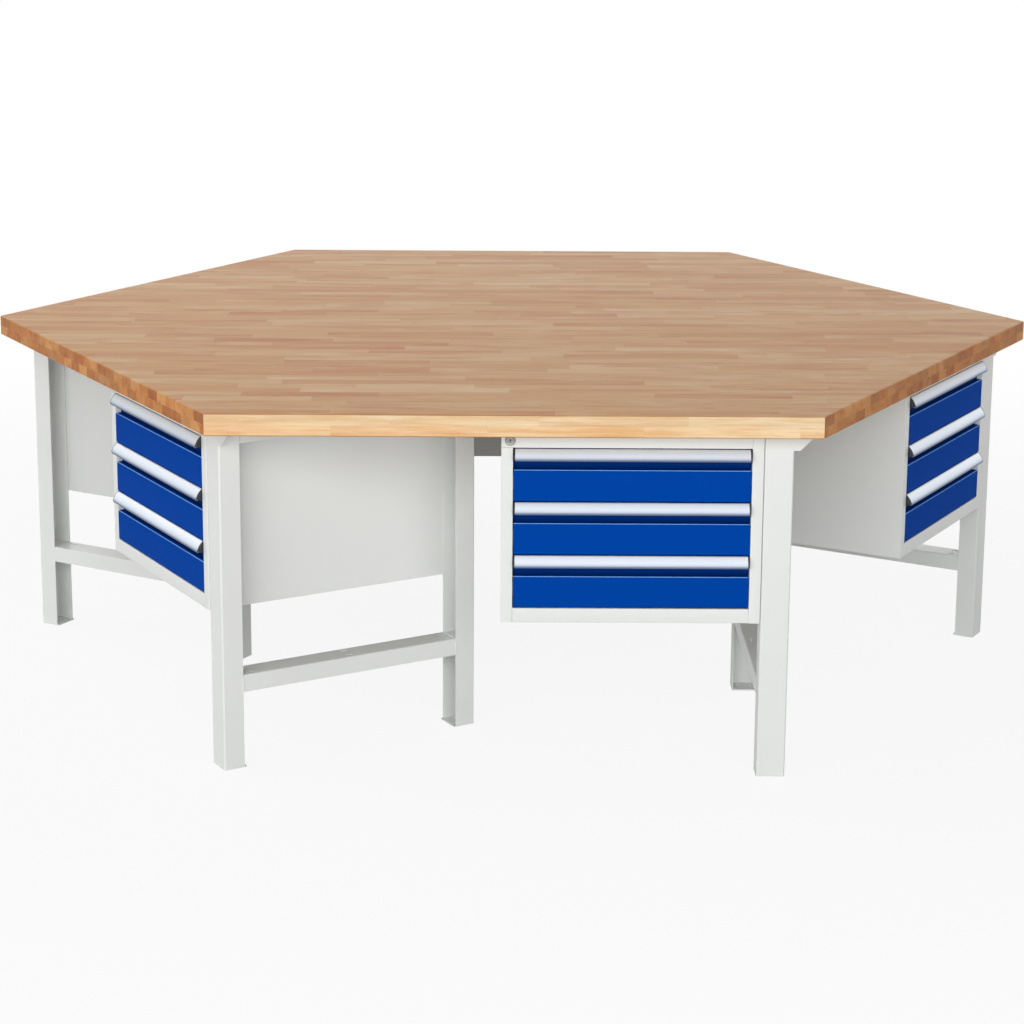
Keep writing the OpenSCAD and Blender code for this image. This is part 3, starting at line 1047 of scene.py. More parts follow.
@dataclass(frozen=True)
class DrawnStrip:
    """Satin aluminium strip, drawn along x, with painted shade towards its rolled lower edge.

    The drop is the strip's height in metres, and the tones go down it, darkening as painted
    shade. Its flat top, behind coat_depth and above coat_rise, has the drawer's blue coat,
    which is seen behind the strip, darkened by painted shade of the gap above the handle.
    """

    name: str
    drop: float
    # Painted shade: the colour darkens down the strip towards its rolled lower edge.
    tones: Tones = (
        (0.0, linear(222, 226, 229)),
        (0.30, linear(210, 215, 221)),
        (0.60, linear(200, 206, 214)),
        (0.80, linear(184, 190, 201)),
        (0.92, linear(152, 161, 176)),
        (1.0, linear(112, 122, 140)),
    )
    lines: Noise = Noise.drawn(5.0, 3200.0, 3.0, 0.6)
    line_shade: Span = (0.965, 1.03)
    # The drawer's blue, seen behind the strip, made darker by painted shade of the gap.
    coat: Colour = linear(0, 42, 104)
    coat_depth: Span = (0.0008, 0.0024)
    coat_rise: Span = (-0.0012, -0.0004)
    metallic: float = 0.9
    roughness: Span = (0.65, 0.77)
    depth: float = 0.00001
    relief: float = 0.5

    def make(self) -> bpy.types.Material:
        """Makes the material.

        Returns:
            The finished material.
        """
        g = Graph.material(self.name)
        _, y, z = spot = g.place()
        lines = g.noise(self.lines, spot)
        # The tones paint shade that deepens down the strip.
        bare = g.colours(z / -self.drop, self.tones)
        bare = g.scaled(bare, lines.ramp(*MEDIUM, *self.line_shade))
        # The drawer's blue coat with painted shade of the gap, on the strip's flat top.
        gap_coat_and_shade = y.ramp(*self.coat_depth) * z.ramp(*self.coat_rise)
        return g.surface(
            {
                "Base Color": g.mix(gap_coat_and_shade, bare, self.coat),
                "Metallic": self.metallic - gap_coat_and_shade * self.metallic,
                "Roughness": lines.ramp(*WIDE, *self.roughness),
                "Normal": g.bump(lines, self.depth, self.relief),
            }
        )


@dataclass(frozen=True)
class TurnedMetal:
    """Plated metal turned on a lathe, with rings 0.35 mm apart round its axis along y."""

    name: str
    colour: Colour
    axis_x: float
    axis_z: float
    rings: Noise = Noise(1 / 0.00035, 900.0, 0.0, 2.0, 0.6)
    ring_shade: Span = (0.86, 1.10)
    smear: Noise = Noise.even(260.0)
    smear_shade: Span = (0.92, 1.06)
    roughness: Span = (0.25, 0.38)
    depth: float = 0.00006
    relief: float = 0.8

    def make(self) -> bpy.types.Material:
        """Makes the material.

        Returns:
            The finished material.
        """
        g = Graph.material(self.name)
        x, y, z = spot = g.place()
        out, up = x - self.axis_x, z - self.axis_z
        radius = (out * out + up * up).math("SQRT")
        rings = g.noise(self.rings, (radius, y, 0.0))
        smear = g.noise(self.smear, spot)
        shade = rings.ramp(*NARROW, *self.ring_shade) * smear.ramp(*NARROW, *self.smear_shade)
        return g.surface(
            {
                "Base Color": g.scaled(self.colour, shade),
                "Metallic": 1.0,
                "Roughness": smear.ramp(*NARROW, *self.roughness),
                "Normal": g.bump(rings, self.depth, self.relief),
            }
        )


@dataclass(frozen=True)
class Moulded:
    """Black moulded plastic with a fine spark-eroded grain."""

    name: str = "black_plastic"
    colour: Colour = (0.010, 0.011, 0.014)
    grain: Noise = Noise.even(2600.0, 2.0, 0.6)
    shade: Span = (0.85, 1.2)
    roughness: Span = (0.42, 0.56)
    depth: float = 0.00003
    relief: float = 0.5

    def make(self) -> bpy.types.Material:
        """Makes the material.

        Returns:
            The finished material.
        """
        g = Graph.material(self.name)
        grain = g.noise(self.grain, g.place())
        return g.surface(
            {
                "Base Color": g.scaled(self.colour, grain.ramp(*NARROW, *self.shade)),
                "Roughness": grain.ramp(*NARROW, *self.roughness),
                "Normal": g.bump(grain, self.depth, self.relief),
            }
        )


@dataclass
class Palette:
    """The materials of the bench."""

    sizes: Sizes
    beech: bpy.types.Material = field(init=False)
    grey: bpy.types.Material = field(init=False)
    blue: bpy.types.Material = field(init=False)
    aluminium: bpy.types.Material = field(init=False)
    nickel: bpy.types.Material = field(init=False)
    zinc: bpy.types.Material = field(init=False)
    black: bpy.types.Material = field(init=False)

    def __post_init__(self) -> None:
        """Makes the materials."""
        s = self.sizes
        self.beech = Beech().make()
        self.grey = PowderCoat("grey_coat", linear(223, 225, 223)).make()
        blue = linear(0, 65, 158)
        self.blue = FrontCoat("blue_coat", blue, (0.46, 0.56), 0.008, ledge=s.panel_h * MM).make()
        self.aluminium = DrawnStrip("satin_aluminium", s.grip_drop * MM).make()
        grey, axis = linear(134, 134, 130), (s.lock_in * MM, s.lock_z * MM)
        self.nickel = TurnedMetal("turned_nickel", grey, *axis).make()
        self.zinc = ZincPlate().make()
        self.black = Moulded().make()


# Pieces


@dataclass
class Assembly:
    """A sub-assembly that makes its meshes once and puts them at every station."""

    sizes: Sizes
    site: Site
    palette: Palette

    def mirrored(self, outline: Sequence[Point]) -> list[Point]:
        """Mirrors an outline to the cabinet's other side."""
        return [(self.sizes.cab_w - x, y) for x, y in outline]

    def put(
        self,
        name: str,
        mesh: bpy.types.Mesh,
        where: Matrix,
        body: str,
        finish: bpy.types.Material,
        slot: Slot | None = None,
        nodes: Sequence[str] = (),
    ) -> None:
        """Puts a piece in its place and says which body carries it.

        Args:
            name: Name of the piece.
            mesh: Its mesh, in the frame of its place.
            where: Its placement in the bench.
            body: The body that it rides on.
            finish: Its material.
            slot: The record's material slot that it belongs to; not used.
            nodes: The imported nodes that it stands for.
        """
        if not mesh.materials:
            mesh.materials.append(finish)
        piece = bpy.data.objects.new(name, mesh)
        bpy.context.scene.collection.objects.link(piece)
        piece.matrix_world = where
        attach(piece, body)
        if nodes:
            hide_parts(*nodes)
        LOG.info("%s rides on %s, %d faces", name, body, len(mesh.polygons))

    def finish_node(self, name: str, finish: bpy.types.Material) -> None:
        """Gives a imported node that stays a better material.

        Args:
            name: Name of the node.
            finish: Its new material.
        """
        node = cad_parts[name]
        if node.material_slots:
            for place in node.material_slots:
                place.material = finish
        else:
            node.data.materials.append(finish)
        LOG.info("%s keeps its mesh and gets %s", name, finish.name)


class Worktop(Assembly):
    """The glued beech top and what holds it."""

    def build(self) -> None:
        """Finishes the top and its screws."""
        self.finish_node("worktop", self.palette.beech)
        self.finish_node("fasteners", self.palette.zinc)


@dataclass
class LegFrames(Assembly):
    """The welded leg frames and their seams."""

    bead: float = 1.6
    bead_step: float = 0.8
    fewest_steps: int = 4
    end_steps: int = 4
    end_share: float = 0.45
    ripple: float = 2.4
    ripple_share: float = 0.10
    flat_phase: float = 7.0
    sunk: float = 0.3
    inset: float = 5.0
    foot: float = 2.0
    smooth_below: float = 60.0

    def seam_bead(self, form: Form, start: Vector, end: Vector, phase: float) -> None:
        """Adds one weld bead with its ripples.

        Args:
            form: The form that takes the bead.
            start: Its one end.
            end: Its other end.
            phase: Shift of its ripples.
        """
        length = (end - start).length
        count = max(self.fewest_steps, round(length / self.bead_step))
        line = [start.lerp(end, i / count) for i in range(count + 1)]
        radii = []
        for i in range(count + 1):
            from_end = min(i, count - i) / self.end_steps
            taper = min(1.0, self.end_share + (1 - self.end_share) * from_end)
            angle = FULL_TURN * (i * length / count) / self.ripple + phase
            radii.append(self.bead * taper * (1 + self.ripple_share * math.sin(angle)))
        form.tube(line, radii)

    def build(self) -> None:
        """Finishes the frames and welds their rails to their legs."""
        s = self.sizes
        form = Form()
        for n, top in enumerate((s.rail_top, s.under_top)):
            for m, y in enumerate((s.leg_d, s.frame_depth - s.leg_d)):
                for k, x in enumerate((self.sunk, s.leg_w - self.sunk)):
                    low = Vector((x, y, top - s.rail_h + self.foot))
                    high = Vector((x, y, top - self.inset))
                    self.seam_bead(form, low, high, n + 2 * m + 4 * k)
                if top == s.rail_top:
                    left = Vector((self.inset, y, top - self.sunk))
                    right = Vector((s.leg_w - self.inset, y, top - self.sunk))
                    self.seam_bead(form, left, right, self.flat_phase + m)
        welds, grey = form.mesh("frame_welds", self.smooth_below), self.palette.grey
        for number in STATIONS:
            node, place = f"leg_frame_{number}", self.site.leg_frame(number)
            self.finish_node(node, grey)
            self.put(f"{node}_welds", welds, place, "bench", grey, Slot.GREY)


@dataclass
class Cabinets(Assembly):
    """The hanging cabinets, folded from sheet."""

    bend: float = 1.6
    back_fold: float = 15.0
    hole_run: float = 1.0

    def lapped_wall(self, low: float) -> list[Point]:
        """Gives the left wall beside the top strip, cut back where the strip's folds lap over it.

        Args:
            low: Height of its lower edge, on the post.

        Returns:
            The outline in y and z.
        """
        s = self.sizes
        edge = s.cab_t + 2 * s.seam
        below, above = s.strip_fold + s.seam, self.back_fold + s.seam
        rear = [(below, low), (s.cab_d, low), (s.cab_d, s.cab_h), (above, s.cab_h)]
        front = [(above, s.cab_h - edge), (edge, s.cab_h - edge), (edge, low + edge)]
        return [*rear, *front, (below, low + edge)]

    def sides(self, form: Form) -> None:
        """Adds the walls with the front posts folded from them, and the rear uprights.

        Args:
            form: The form that takes them.
        """
        s = self.sizes
        corners = [(0, s.cab_d), (0, 0), (s.post_w, 0), (s.post_w, s.post_d)]
        post = fold(corners, s.cab_t, self.bend)
        x0, y1 = s.cab_t + s.seam, s.upright_y1
        y0 = y1 - s.upright_w
        corners = [(x0, y0), (s.post_w, y0), (s.post_w, y1), (x0, y1)]
        upright = fold(corners, s.cab_t, self.bend)
        low = s.cab_h - s.strip_top - s.seam
        form.prism(post, Plane.XY, 0, low)
        form.prism(self.lapped_wall(low), Plane.YZ, 0, s.cab_t)
        form.prism(self.mirrored(post), Plane.XY, 0, s.cab_h)
        for outline in (upright, self.mirrored(upright)):
            form.prism(outline, Plane.XY, x0, s.cab_h - x0)

    def sheets(self, form: Form) -> None:
        """Adds the back and the two decks.

        Args:
            form: The form that takes them.
        """
        s = self.sizes
        x0, x1 = s.cab_t + s.seam, s.cab_w - s.cab_t - s.seam
        back = rectangle(x0, 0, x1, s.cab_h)
        form.prism(back, Plane.XZ, s.cab_d - s.cab_t, s.cab_d)
        left, right = s.post_w + s.seam, s.cab_w - s.post_w - s.seam
        front, step = self.back_fold + s.seam, s.post_d + s.seam
        rear = s.cab_d - s.cab_t - s.seam
        deck = [(left, front), (right, front), (right, step), (x1, step)]
        deck += [(x1, rear), (x0, rear), (x0, step), (left, step)]
        for z in (0, s.cab_h - s.cab_t):
            form.prism(deck, Plane.XY, z, z + s.cab_t)

    def strip(self, low: float, high: float, long_below: bool) -> list[Point]:
        """Gives the section of a front strip, folded back at both edges.

        Args:
            low: Height of its lower edge.
            high: Height of its upper edge.
            long_below: Whether the deeper fold is the lower one.

        Returns:
            The section in y and z.
        """
        reach = (self.back_fold, self.sizes.strip_fold)
        below, above = reach[::-1] if long_below else reach
        corners = [(above, high), (0, high), (0, low), (below, low)]
        return fold(corners, self.sizes.cab_t, self.bend)

    def build(self) -> None:
        """Makes the cabinets and their top strips, each with its hole for the lock."""
        s, grey = self.sizes, self.palette.grey
        left, right = s.post_w + s.seam, s.cab_w - s.post_w - s.seam
        shell = Form()
        self.sides(shell)
        self.sheets(shell)
        shell.prism(self.strip(0, s.strip_bottom, False), Plane.YZ, left, right)
        shell_mesh = shell.mesh("cabinet_shell")
        section = self.strip(s.cab_h - s.strip_top, s.cab_h, True)
        top = Form().prism(section, Plane.YZ, 0, right).mesh("cabinet_top_strip")
        lock = ring(s.lock_in, s.lock_z, s.barrel_d / 2 + s.seam)
        hole = Form().prism(lock, Plane.XZ, -self.hole_run, s.cab_t + self.hole_run)
        top_mesh = cut_mesh(top, hole.mesh("lock_hole"))
        for number in STATIONS:
            node, place = f"cabinet_{number}", self.site.cabinet(number)
            self.put(f"{node}_shell", shell_mesh, place, "bench", grey, Slot.GREY, [node])
            self.put(f"{node}_top_strip", top_mesh, place, "bench", grey, Slot.GREY)


@dataclass
class Drawers(Assembly):
    """The drawers: folded blue front, grey box and the rails on its sides."""

    bend: float = 2.2
    back_flange: float = 15.0
    rim: float = 6.0
    rail_bend: float = 1.8
    rail_start: float = 4.0

    def front(self) -> bpy.types.Mesh:
        """Makes the front, with its raised panel, recess and closed ends.

        Returns:
            The mesh, in the drawer's frame.
        """
        s = self.sizes
        low = s.floor_lift + self.back_flange
        high = s.floor_lift + s.wall_h - self.back_flange
        depth, recess, panel, top = s.front_d, s.recess_d, s.panel_h, s.front_h
        path = [(depth, high), (depth, top), (recess, top), (recess, panel)]
        path += [(0, panel), (0, 0), (depth, 0), (depth, low)]
        x0, x1 = s.front_ends
        section = fold(path, s.drawer_t, self.bend)
        form = Form().prism(section, Plane.YZ, x0 + s.drawer_t, x1 - s.drawer_t)
        skin, _ = fold_skin(path, s.drawer_t, self.bend)
        for x in (x0, x1 - s.drawer_t):
            form.prism(skin, Plane.YZ, x, x + s.drawer_t)
        return form.mesh("drawer_front")

    def box(self) -> bpy.types.Mesh:
        """Makes the box: a folded pan with turned-in rims, and its front and rear walls.

        Returns:
            The mesh, in the drawer's frame.
        """
        s = self.sizes
        x0 = s.post_w + s.slide_w + s.seam
        x1 = s.cab_w - x0
        y0 = s.front_d + s.seam
        y1 = s.cab_d - s.cab_t - s.rear_gap + s.seam
        z0, z1 = s.floor_lift, s.floor_lift + s.wall_h
        left = [(x0 + self.rim, z1), (x0, z1), (x0, z0)]
        right = [(x1, z0), (x1, z1), (x1 - self.rim, z1)]
        pan = fold([*left, *right], s.drawer_t, self.bend)
        form = Form().prism(pan, Plane.XZ, y0, y1)
        lap = s.drawer_t + s.seam
        low, high = z0 + lap, z1 - lap
        front = [(y0 + self.rim, high), (y0, high), (y0, low)]
        rear = [(y1, low), (y1, high), (y1 - self.rim, high)]
        for path in (front, rear):
            form.prism(fold(path, s.drawer_t, self.bend), Plane.YZ, x0 + lap, x1 - lap)
        return form.mesh("drawer_box")

    def rails(self) -> bpy.types.Mesh:
        """Makes the drawer's two rails, with their closed rear ends.

        Returns:
            The mesh, in the drawer's frame.
        """
        s = self.sizes
        play = s.slide_t + s.run_gap
        x0, x1 = s.post_w + play, s.post_w + s.slide_w
        y0, y1 = s.front_d + self.rail_start, s.upright_y1
        z0 = s.floor_lift + s.slide_lift + play
        z1 = z0 + s.slide_h - 2 * play
        rail = fold([(x0, z0), (x1, z0), (x1, z1), (x0, z1)], s.slide_t, self.rail_bend)
        stop = rectangle(x0, z0 + s.slide_t, x1 - s.slide_t, z1 - s.slide_t)
        form = Form()
        for flip in (False, True):
            for outline, start in ((rail, y0), (stop, y1 - s.slide_t)):
                form.prism(self.mirrored(outline) if flip else outline, Plane.XZ, start, y1)
        return form.mesh("drawer_rails")

    def build(self) -> None:
        """Makes the drawers and finishes the fixed rails."""
        front, box, rails = self.front(), self.box(), self.rails()
        blue, grey, zinc = self.palette.blue, self.palette.grey, self.palette.zinc
        for number in STATIONS:
            for level in Level:
                node = f"drawer_{number}_{level.label}"
                place = self.site.drawer(number, level)
                self.put(f"{node}_front", front, place, node, blue, Slot.BLUE, [node])
                self.put(f"{node}_box", box, place, node, grey, Slot.GREY)
                self.put(f"{node}_rails", rails, place, node, zinc, Slot.ZINC)
        self.finish_node("runner_rails", zinc)


@dataclass
class Handles(Assembly):
    """The drawn aluminium handles and their black end caps."""

    cap_tail: float = 10.0
    nose: float = 1.2
    face_steps: int = 14
    roll: float = 3.2
    roll_steps: int = 28
    roll_least: int = 6
    roll_most: int = 24
    roll_lap: float = 0.01
    strip_smooth: float = 36.0
    cap_smooth: float = 40.0
    cap_edge: float = 0.5

    def rolled_edge(self, centre: Vector, radius: float, edge: Vector) -> list[Vector]:
        """Gives the bead at the strip's lower edge, from the face round to the inner side.

        Args:
            centre: Middle of the face's arc.
            radius: Radius of the face.
            edge: Where the face ends.

        Returns:
            The points of the bead.
        """
        inwards = (centre - edge) / radius
        middle = edge + inwards * self.roll
        heading = math.atan2(-inwards.y, -inwards.x)
        bead = []
        for i in range(1, self.roll_most + 1):
            angle = heading + FULL_TURN * i / self.roll_steps
            spot = middle + Vector((math.cos(angle), math.sin(angle))) * self.roll
            if i > self.roll_least and (spot - centre).length > radius - self.sizes.grip_t:
                break
            bead.append(spot)
        return bead

    def outlines(self) -> tuple[list[Point], list[Point]]:
        """Gives the sections of the strip and of a cap, from the handle's top edge.

        Returns:
            The two sections, in depth and height.
        """
        s = self.sizes
        edge = Vector((-s.grip_out, -s.grip_drop))
        chord = edge.length
        radius = (chord**2 / 4 + s.grip_bulge**2) / (2 * s.grip_bulge)
        outward = Vector((-s.grip_drop, s.grip_out)) / chord
        centre = edge / 2 - outward * (radius - s.grip_bulge)
        reach = edge - centre
        first = math.atan2(-centre.y, -centre.x) + self.nose / radius
        outer = arc(
            centre, radius, first, math.atan2(reach.y, reach.x) % FULL_TURN, self.face_steps
        )
        bead = self.rolled_edge(centre, radius, edge)
        inner_radius = radius - s.grip_t
        last = bead[-1] - centre
        first = math.atan2(last.y, last.x) % FULL_TURN - self.roll_lap
        end = math.pi - math.asin((-s.grip_t - centre.y) / inner_radius)
        inner = arc(centre, inner_radius, first, end, self.face_steps)
        front = s.recess_d - s.grip_t
        web = [Vector((front, -s.grip_t)), Vector((front, -s.grip_leg))]
        leg = [Vector((s.recess_d, -s.grip_leg)), Vector((s.recess_d, 0))]
        nose = Vector((self.nose, 0))
        strip = [*outer, *bead, *inner, *web, *leg, nose]
        foot = Vector((s.recess_d, -s.grip_drop - self.cap_tail))
        cap = [Vector((s.recess_d, 0)), nose, *outer, foot]
        return [tuple(p) for p in strip], [tuple(p) for p in cap]

    def build(self) -> None:
        """Makes the strips and the caps."""
        s = self.sizes
        strip, cap = self.outlines()
        x0, x1 = s.front_ends
        lap = s.cap_t + s.seam
        strip_form = Form().prism(strip, Plane.YZ, x0 + lap, x1 - lap)
        strip_mesh = strip_form.mesh("handle_strip", self.strip_smooth)
        caps = Form()
        for x in (x0, x1 - s.cap_t):
            caps.prism(cap, Plane.YZ, x, x + s.cap_t)
        cap_mesh = caps.mesh("handle_caps", self.cap_smooth, self.cap_edge)
        raised = Matrix.Translation(Vector((0, 0, s.front_h)) * MM)
        metal, black = self.palette.aluminium, self.palette.black
        for number in STATIONS:
            for level in Level:
                where = f"{number}_{level.label}"
                node, body = f"handle_{where}", f"drawer_{where}"
                place = self.site.drawer(number, level) @ raised
                self.put(f"{node}_strip", strip_mesh, place, body, metal, Slot.ALUMINIUM, [node])
                self.put(f"{node}_caps", cap_mesh, place, body, black)


@dataclass
class Locks(Assembly):
    """The cylinder locks in the top strips: turned rims with nuts, and plugs with cams."""

    rim_r: float = 11.75
    rim_t: float = 2.5
    rim_bevel: float = 0.8
    rim_gap: float = 0.02
    lip: float = 1.6
    lip_slope: float = 0.3
    hollow: float = 0.8
    barrel_l: float = 22.0
    bore_bevel: float = 0.4
    plug_r: float = 6.0
    plug_gap: float = 0.05
    plug_proud: float = 0.4
    nut_t: float = 4.0
    nut_r: float = 12.5
    cam_l: float = 14.0
    cam_w: float = 9.0
    cam_t: float = 2.0
    cam_gap: float = 0.4
    cam_steps: int = 20
    key_r: float = 2.1
    key_w: float = 2.0
    key_h: float = 8.0
    key_depth: float = 4.0
    key_steps: int = 5
    # A black block in the keyhole, this deep behind the plug's face, is painted shade of the
    # keyway.
    shutter: float = 0.9
    shutter_t: float = 2.5
    shutter_gap: float = 0.02
    housing_edge: float = 0.12
    plug_edge: float = 0.3

    @property
    def plug_y0(self) -> float:
        """Front of the plug, from the strip's face."""
        return self.hollow - self.rim_t - self.plug_proud

    def round_axis(self, outline: Sequence[Point]) -> list[Point]:
        """Moves an outline from round the origin to round the lock's axis."""
        return [(self.sizes.lock_in + x, self.sizes.lock_z + z) for x, z in outline]

    def keyhole(self, shrink: float = 0.0) -> list[Point]:
        """Gives the keyhole's outline, a round hole with a slot through it.

        Args:
            shrink: How much smaller the outline is on every side.

        Returns:
            The outline in x and z, round the lock's axis.
        """
        half, reach = self.key_w / 2 - shrink, self.key_h / 2 - shrink
        radius = self.key_r - shrink
        turn = math.acos(half / radius)
        angles = [turn * (i / self.key_steps - 1) for i in range(2 * self.key_steps + 1)]
        bulge = [(radius * math.cos(a), radius * math.sin(a)) for a in angles]
        right = [(half, -reach), *bulge, (half, reach)]
        return self.round_axis(right + [(-x, -z) for x, z in right])

    def housing(self) -> bpy.types.Mesh:
        """Makes the rim with its hollow and barrel, and the nut behind the strip.

        Returns:
            The mesh, in the cabinet's frame.
        """
        s = self.sizes
        bore, barrel = self.plug_r + self.plug_gap, s.barrel_d / 2
        front, floor = -self.rim_t, self.hollow - self.rim_t
        crown = self.rim_r - self.rim_bevel
        lip = crown - self.lip
        face = [(bore, floor + self.bore_bevel), (bore + self.bore_bevel, floor)]
        face += [(lip - self.lip_slope, floor), (lip, front), (crown, front)]
        side = [(self.rim_r, front + self.rim_bevel), (self.rim_r, -self.rim_gap)]
        tail = [(barrel, -self.rim_gap), (barrel, self.barrel_l), (bore, self.barrel_l)]
        form = Form().turned([*face, *side, *tail], s.lock_in, s.lock_z)
        hexagon = ring(s.lock_in, s.lock_z, self.nut_r, 6)
        hole = ring(s.lock_in, s.lock_z, barrel + s.seam)
        form.prism(hexagon, Plane.XZ, s.cab_t, s.cab_t + self.nut_t, [hole])
        return form.mesh("lock_housing", edge=self.housing_edge)

    def plug(self) -> bpy.types.Mesh:
        """Makes the plug with its keyhole and the cam at its rear end.

        Returns:
            The mesh, in the cabinet's frame.
        """
        s = self.sizes
        y0, y1 = self.plug_y0, self.barrel_l + self.cam_gap
        y_key = y0 + self.key_depth
        half = self.cam_w / 2
        angles = [i * math.pi / self.cam_steps - math.pi / 2 for i in range(self.cam_steps + 1)]
        cam = [(-half, half), (-half, -half)]
        cam += [(self.cam_l - half + half * math.cos(a), half * math.sin(a)) for a in angles]
        body = ring(s.lock_in, s.lock_z, self.plug_r)
        form = Form().prism(body, Plane.XZ, y0, y_key, [self.keyhole()])
        form.prism(body, Plane.XZ, y_key, y1)
        form.prism(self.round_axis(cam), Plane.XZ, y1, y1 + self.cam_t)
        return form.mesh("lock_plug", edge=self.plug_edge)

    def build(self) -> None:
        """Makes the locks, each with a black block in its keyhole as painted shade of the keyway.
        """
        housing, plug = self.housing(), self.plug()
        # The black block in the keyhole is painted shade of the keyway.
        deep = self.plug_y0 + self.shutter
        outline = self.keyhole(self.shutter_gap)
        block = Form().prism(outline, Plane.XZ, deep, deep + self.shutter_t)
        shutter = block.mesh("lock_shutter")
        metal, black, slot = self.palette.nickel, self.palette.black, Slot.LOCK
        for number in STATIONS:
            body, place = f"lock_{number}", self.site.cabinet(number)
            rim, nodes = f"{body}_housing", ["lock_housings"]
            self.put(rim, housing, place, "bench", metal, slot, nodes)
            self.put(f"{body}_plug", plug, place, body, metal, slot, [body])
            self.put(f"{body}_shutter", shutter, place, body, black)


# Studio


@dataclass(frozen=True)
class Lamp:
    """A soft box that looks at the bench, with its sizes in metres and its power in watts."""

    name: str
    place: Place
    width: float
    height: float
    power: float
    target: Place = (0.0, 0.0, 0.5)

    def build(self) -> None:
        """Hangs the lamp."""
        light = bpy.data.lights.new(self.name, "AREA")
        light.shape, light.energy = "RECTANGLE", self.power
        light.size, light.size_y = self.width, self.height
        lamp = bpy.data.objects.new(self.name, light)
        bpy.context.scene.collection.objects.link(lamp)
        lamp.location = self.place
        way = Vector(self.target) - Vector(self.place)
        lamp.rotation_euler = way.to_track_quat("-Z", "Y").to_euler()


@dataclass(frozen=True)
class Camera:
    """The photograph's camera, in millimetres, radians and pixels of a 1024 frame."""

    place: Place = (-26.0, -6348.8, 2009.4)
    yaw: float = 0.00647
    pitch: float = -0.21395
    roll: float = 0.00669
    focal_px: float = 2445.05
    middle: Point = (517.98, 400.0)
    frame_px: float = 1024.0
    sensor: float = 36.0
    clip: Span = (0.1, 200.0)

    def turn(self) -> Matrix:
        """Works out how the camera is turned.

        Returns:
            The rotation from the camera's own axes to the bench's.
        """
        level_share = math.cos(self.pitch)
        ahead = Vector((math.sin(self.yaw), math.cos(self.yaw), 0)) * level_share
        ahead.z = math.sin(self.pitch)
        level = Vector((math.cos(self.yaw), -math.sin(self.yaw), 0))
        rise = level.cross(ahead)
        right = level * math.cos(self.roll) + rise * math.sin(self.roll)
        up = rise * math.cos(self.roll) - level * math.sin(self.roll)
        return Matrix((right, up, -ahead)).transposed().to_4x4()

    def build(self) -> None:
        """Sets up the camera."""
        data = bpy.data.cameras.new("camera")
        data.sensor_width = self.sensor
        data.lens = self.focal_px / self.frame_px * self.sensor
        data.shift_x = (self.frame_px / 2 - self.middle[0]) / self.frame_px
        data.shift_y = (self.middle[1] - self.frame_px / 2) / self.frame_px
        data.clip_start, data.clip_end = self.clip
        camera = bpy.data.objects.new("camera", data)
        bpy.context.scene.collection.objects.link(camera)
        camera.matrix_world = Matrix.Translation(Vector(self.place) * MM) @ self.turn()
        bpy.context.scene.camera = camera


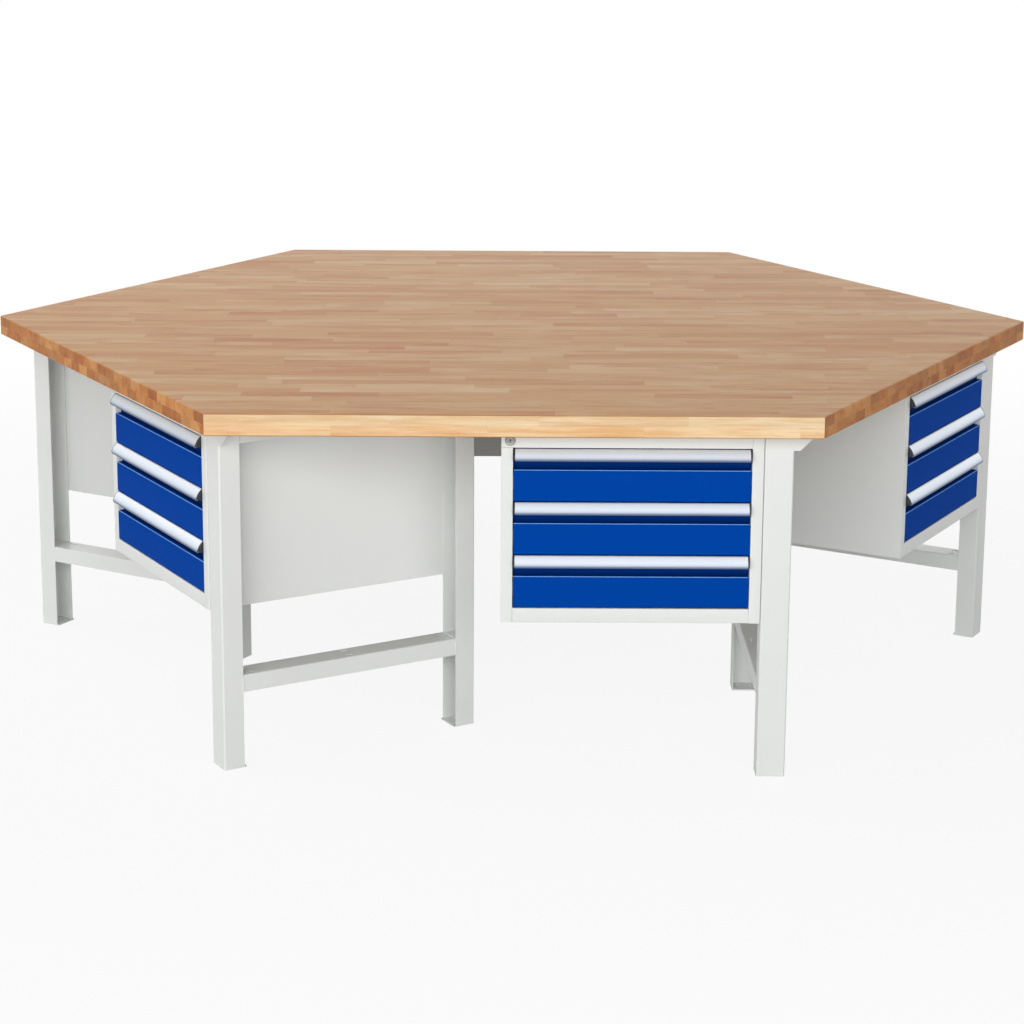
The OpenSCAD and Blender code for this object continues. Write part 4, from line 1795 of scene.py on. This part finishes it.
@dataclass(frozen=True)
class Studio:
    """Pale floor, white surroundings, soft lamps and the camera, in metres.

    The floor glows white to the eye, by glow_share near the bench and wholly beyond
    the fade's end. The rest is plain floor, which keeps the bench's shadow.
    """

    ambient: float = 0.12
    floor_side: float = 160.0
    floor_cells: int = 8
    floor_colour: tuple[float, float, float, float] = (0.66, 0.66, 0.66, 1.0)
    fade: Span = (1.6, 4.6)
    glow_share: float = 0.90
    lamps: tuple[Lamp, ...] = (
        Lamp("lamp_front", (-1.4, -9.0, 3.0), 16.0, 5.8, 900.0, (0.0, 0.0, 0.6)),
        Lamp("lamp_above", (-3.2, 0.0, 6.8), 6.0, 6.0, 178.0),
        Lamp("lamp_right", (7.4, 3.4, 2.8), 7.0, 4.6, 155.0),
        Lamp("lamp_left", (-7.4, 3.4, 2.8), 7.0, 4.6, 130.0),
        Lamp("lamp_rear", (0.0, 8.0, 2.4), 8.0, 3.6, 150.0),
    )

    def seen_directly(self, graph: Graph) -> Value:
        """Gives 1 for rays from the camera, from gloss and through glass, and 0 for others.

        Args:
            graph: The nodes that it is made with.

        Returns:
            The share.
        """
        path = graph.node("ShaderNodeLightPath")
        names = ("Is Camera Ray", "Is Glossy Ray", "Is Transmission Ray")
        camera, glossy, through = (Value(graph, path.outputs[n]) for n in names)
        return (camera + glossy + through).math("MINIMUM", 1.0)

    def surroundings(self) -> None:
        """Makes the world white to the eye and softer as light."""
        world = bpy.data.worlds.new("surroundings")
        bpy.context.scene.world = world
        graph = Graph(world)
        strength = self.seen_directly(graph) * (1 - self.ambient) + self.ambient
        sockets = {"Color": WHITE, "Strength": strength}
        background = graph.node("ShaderNodeBackground", None, sockets)
        graph.node("ShaderNodeOutputWorld", None, {"Surface": background.outputs[0]})

    def floor(self) -> None:
        """Lays the floor, which fades to white away from the bench."""
        mesh = Form().level_sheet(self.floor_side / 2 / MM, self.floor_cells).mesh("studio_floor")
        graph = Graph.material("studio_floor")
        x, y, _ = graph.place()
        away = (x * x + y * y).math("SQRT").ramp(*self.fade, self.glow_share, 1.0)
        share = away * self.seen_directly(graph)
        plain_floor = graph.node("ShaderNodeBsdfDiffuse", None, {"Color": self.floor_colour})
        glow = graph.node("ShaderNodeEmission", None, {"Color": WHITE, "Strength": 1.0})
        sockets = {0: share, 1: plain_floor.outputs[0], 2: glow.outputs[0]}
        mesh.materials.append(graph.finish(graph.node("ShaderNodeMixShader", None, sockets)))
        floor = bpy.data.objects.new("studio_floor", mesh)
        bpy.context.scene.collection.objects.link(floor)

    def build(self) -> None:
        """Sets up the whole studio."""
        bpy.context.scene.view_settings.view_transform = "Standard"
        self.surroundings()
        self.floor()
        for lamp in self.lamps:
            lamp.build()
        Camera().build()
        LOG.info("the studio has %d lamps", len(self.lamps))


def main() -> None:
    """Builds the studio and the bench."""
    logging.basicConfig(level=logging.INFO, format="%(name)s: %(message)s")
    Studio().build()
    sizes = Sizes()
    site, palette = Site(sizes), Palette(sizes)
    for kind in (Worktop, LegFrames, Cabinets, Drawers, Handles, Locks):
        kind(sizes, site, palette).build()
        LOG.info("%s done", kind.__name__)
    bpy.context.view_layer.update()


if __name__ == "__main__":
    main()
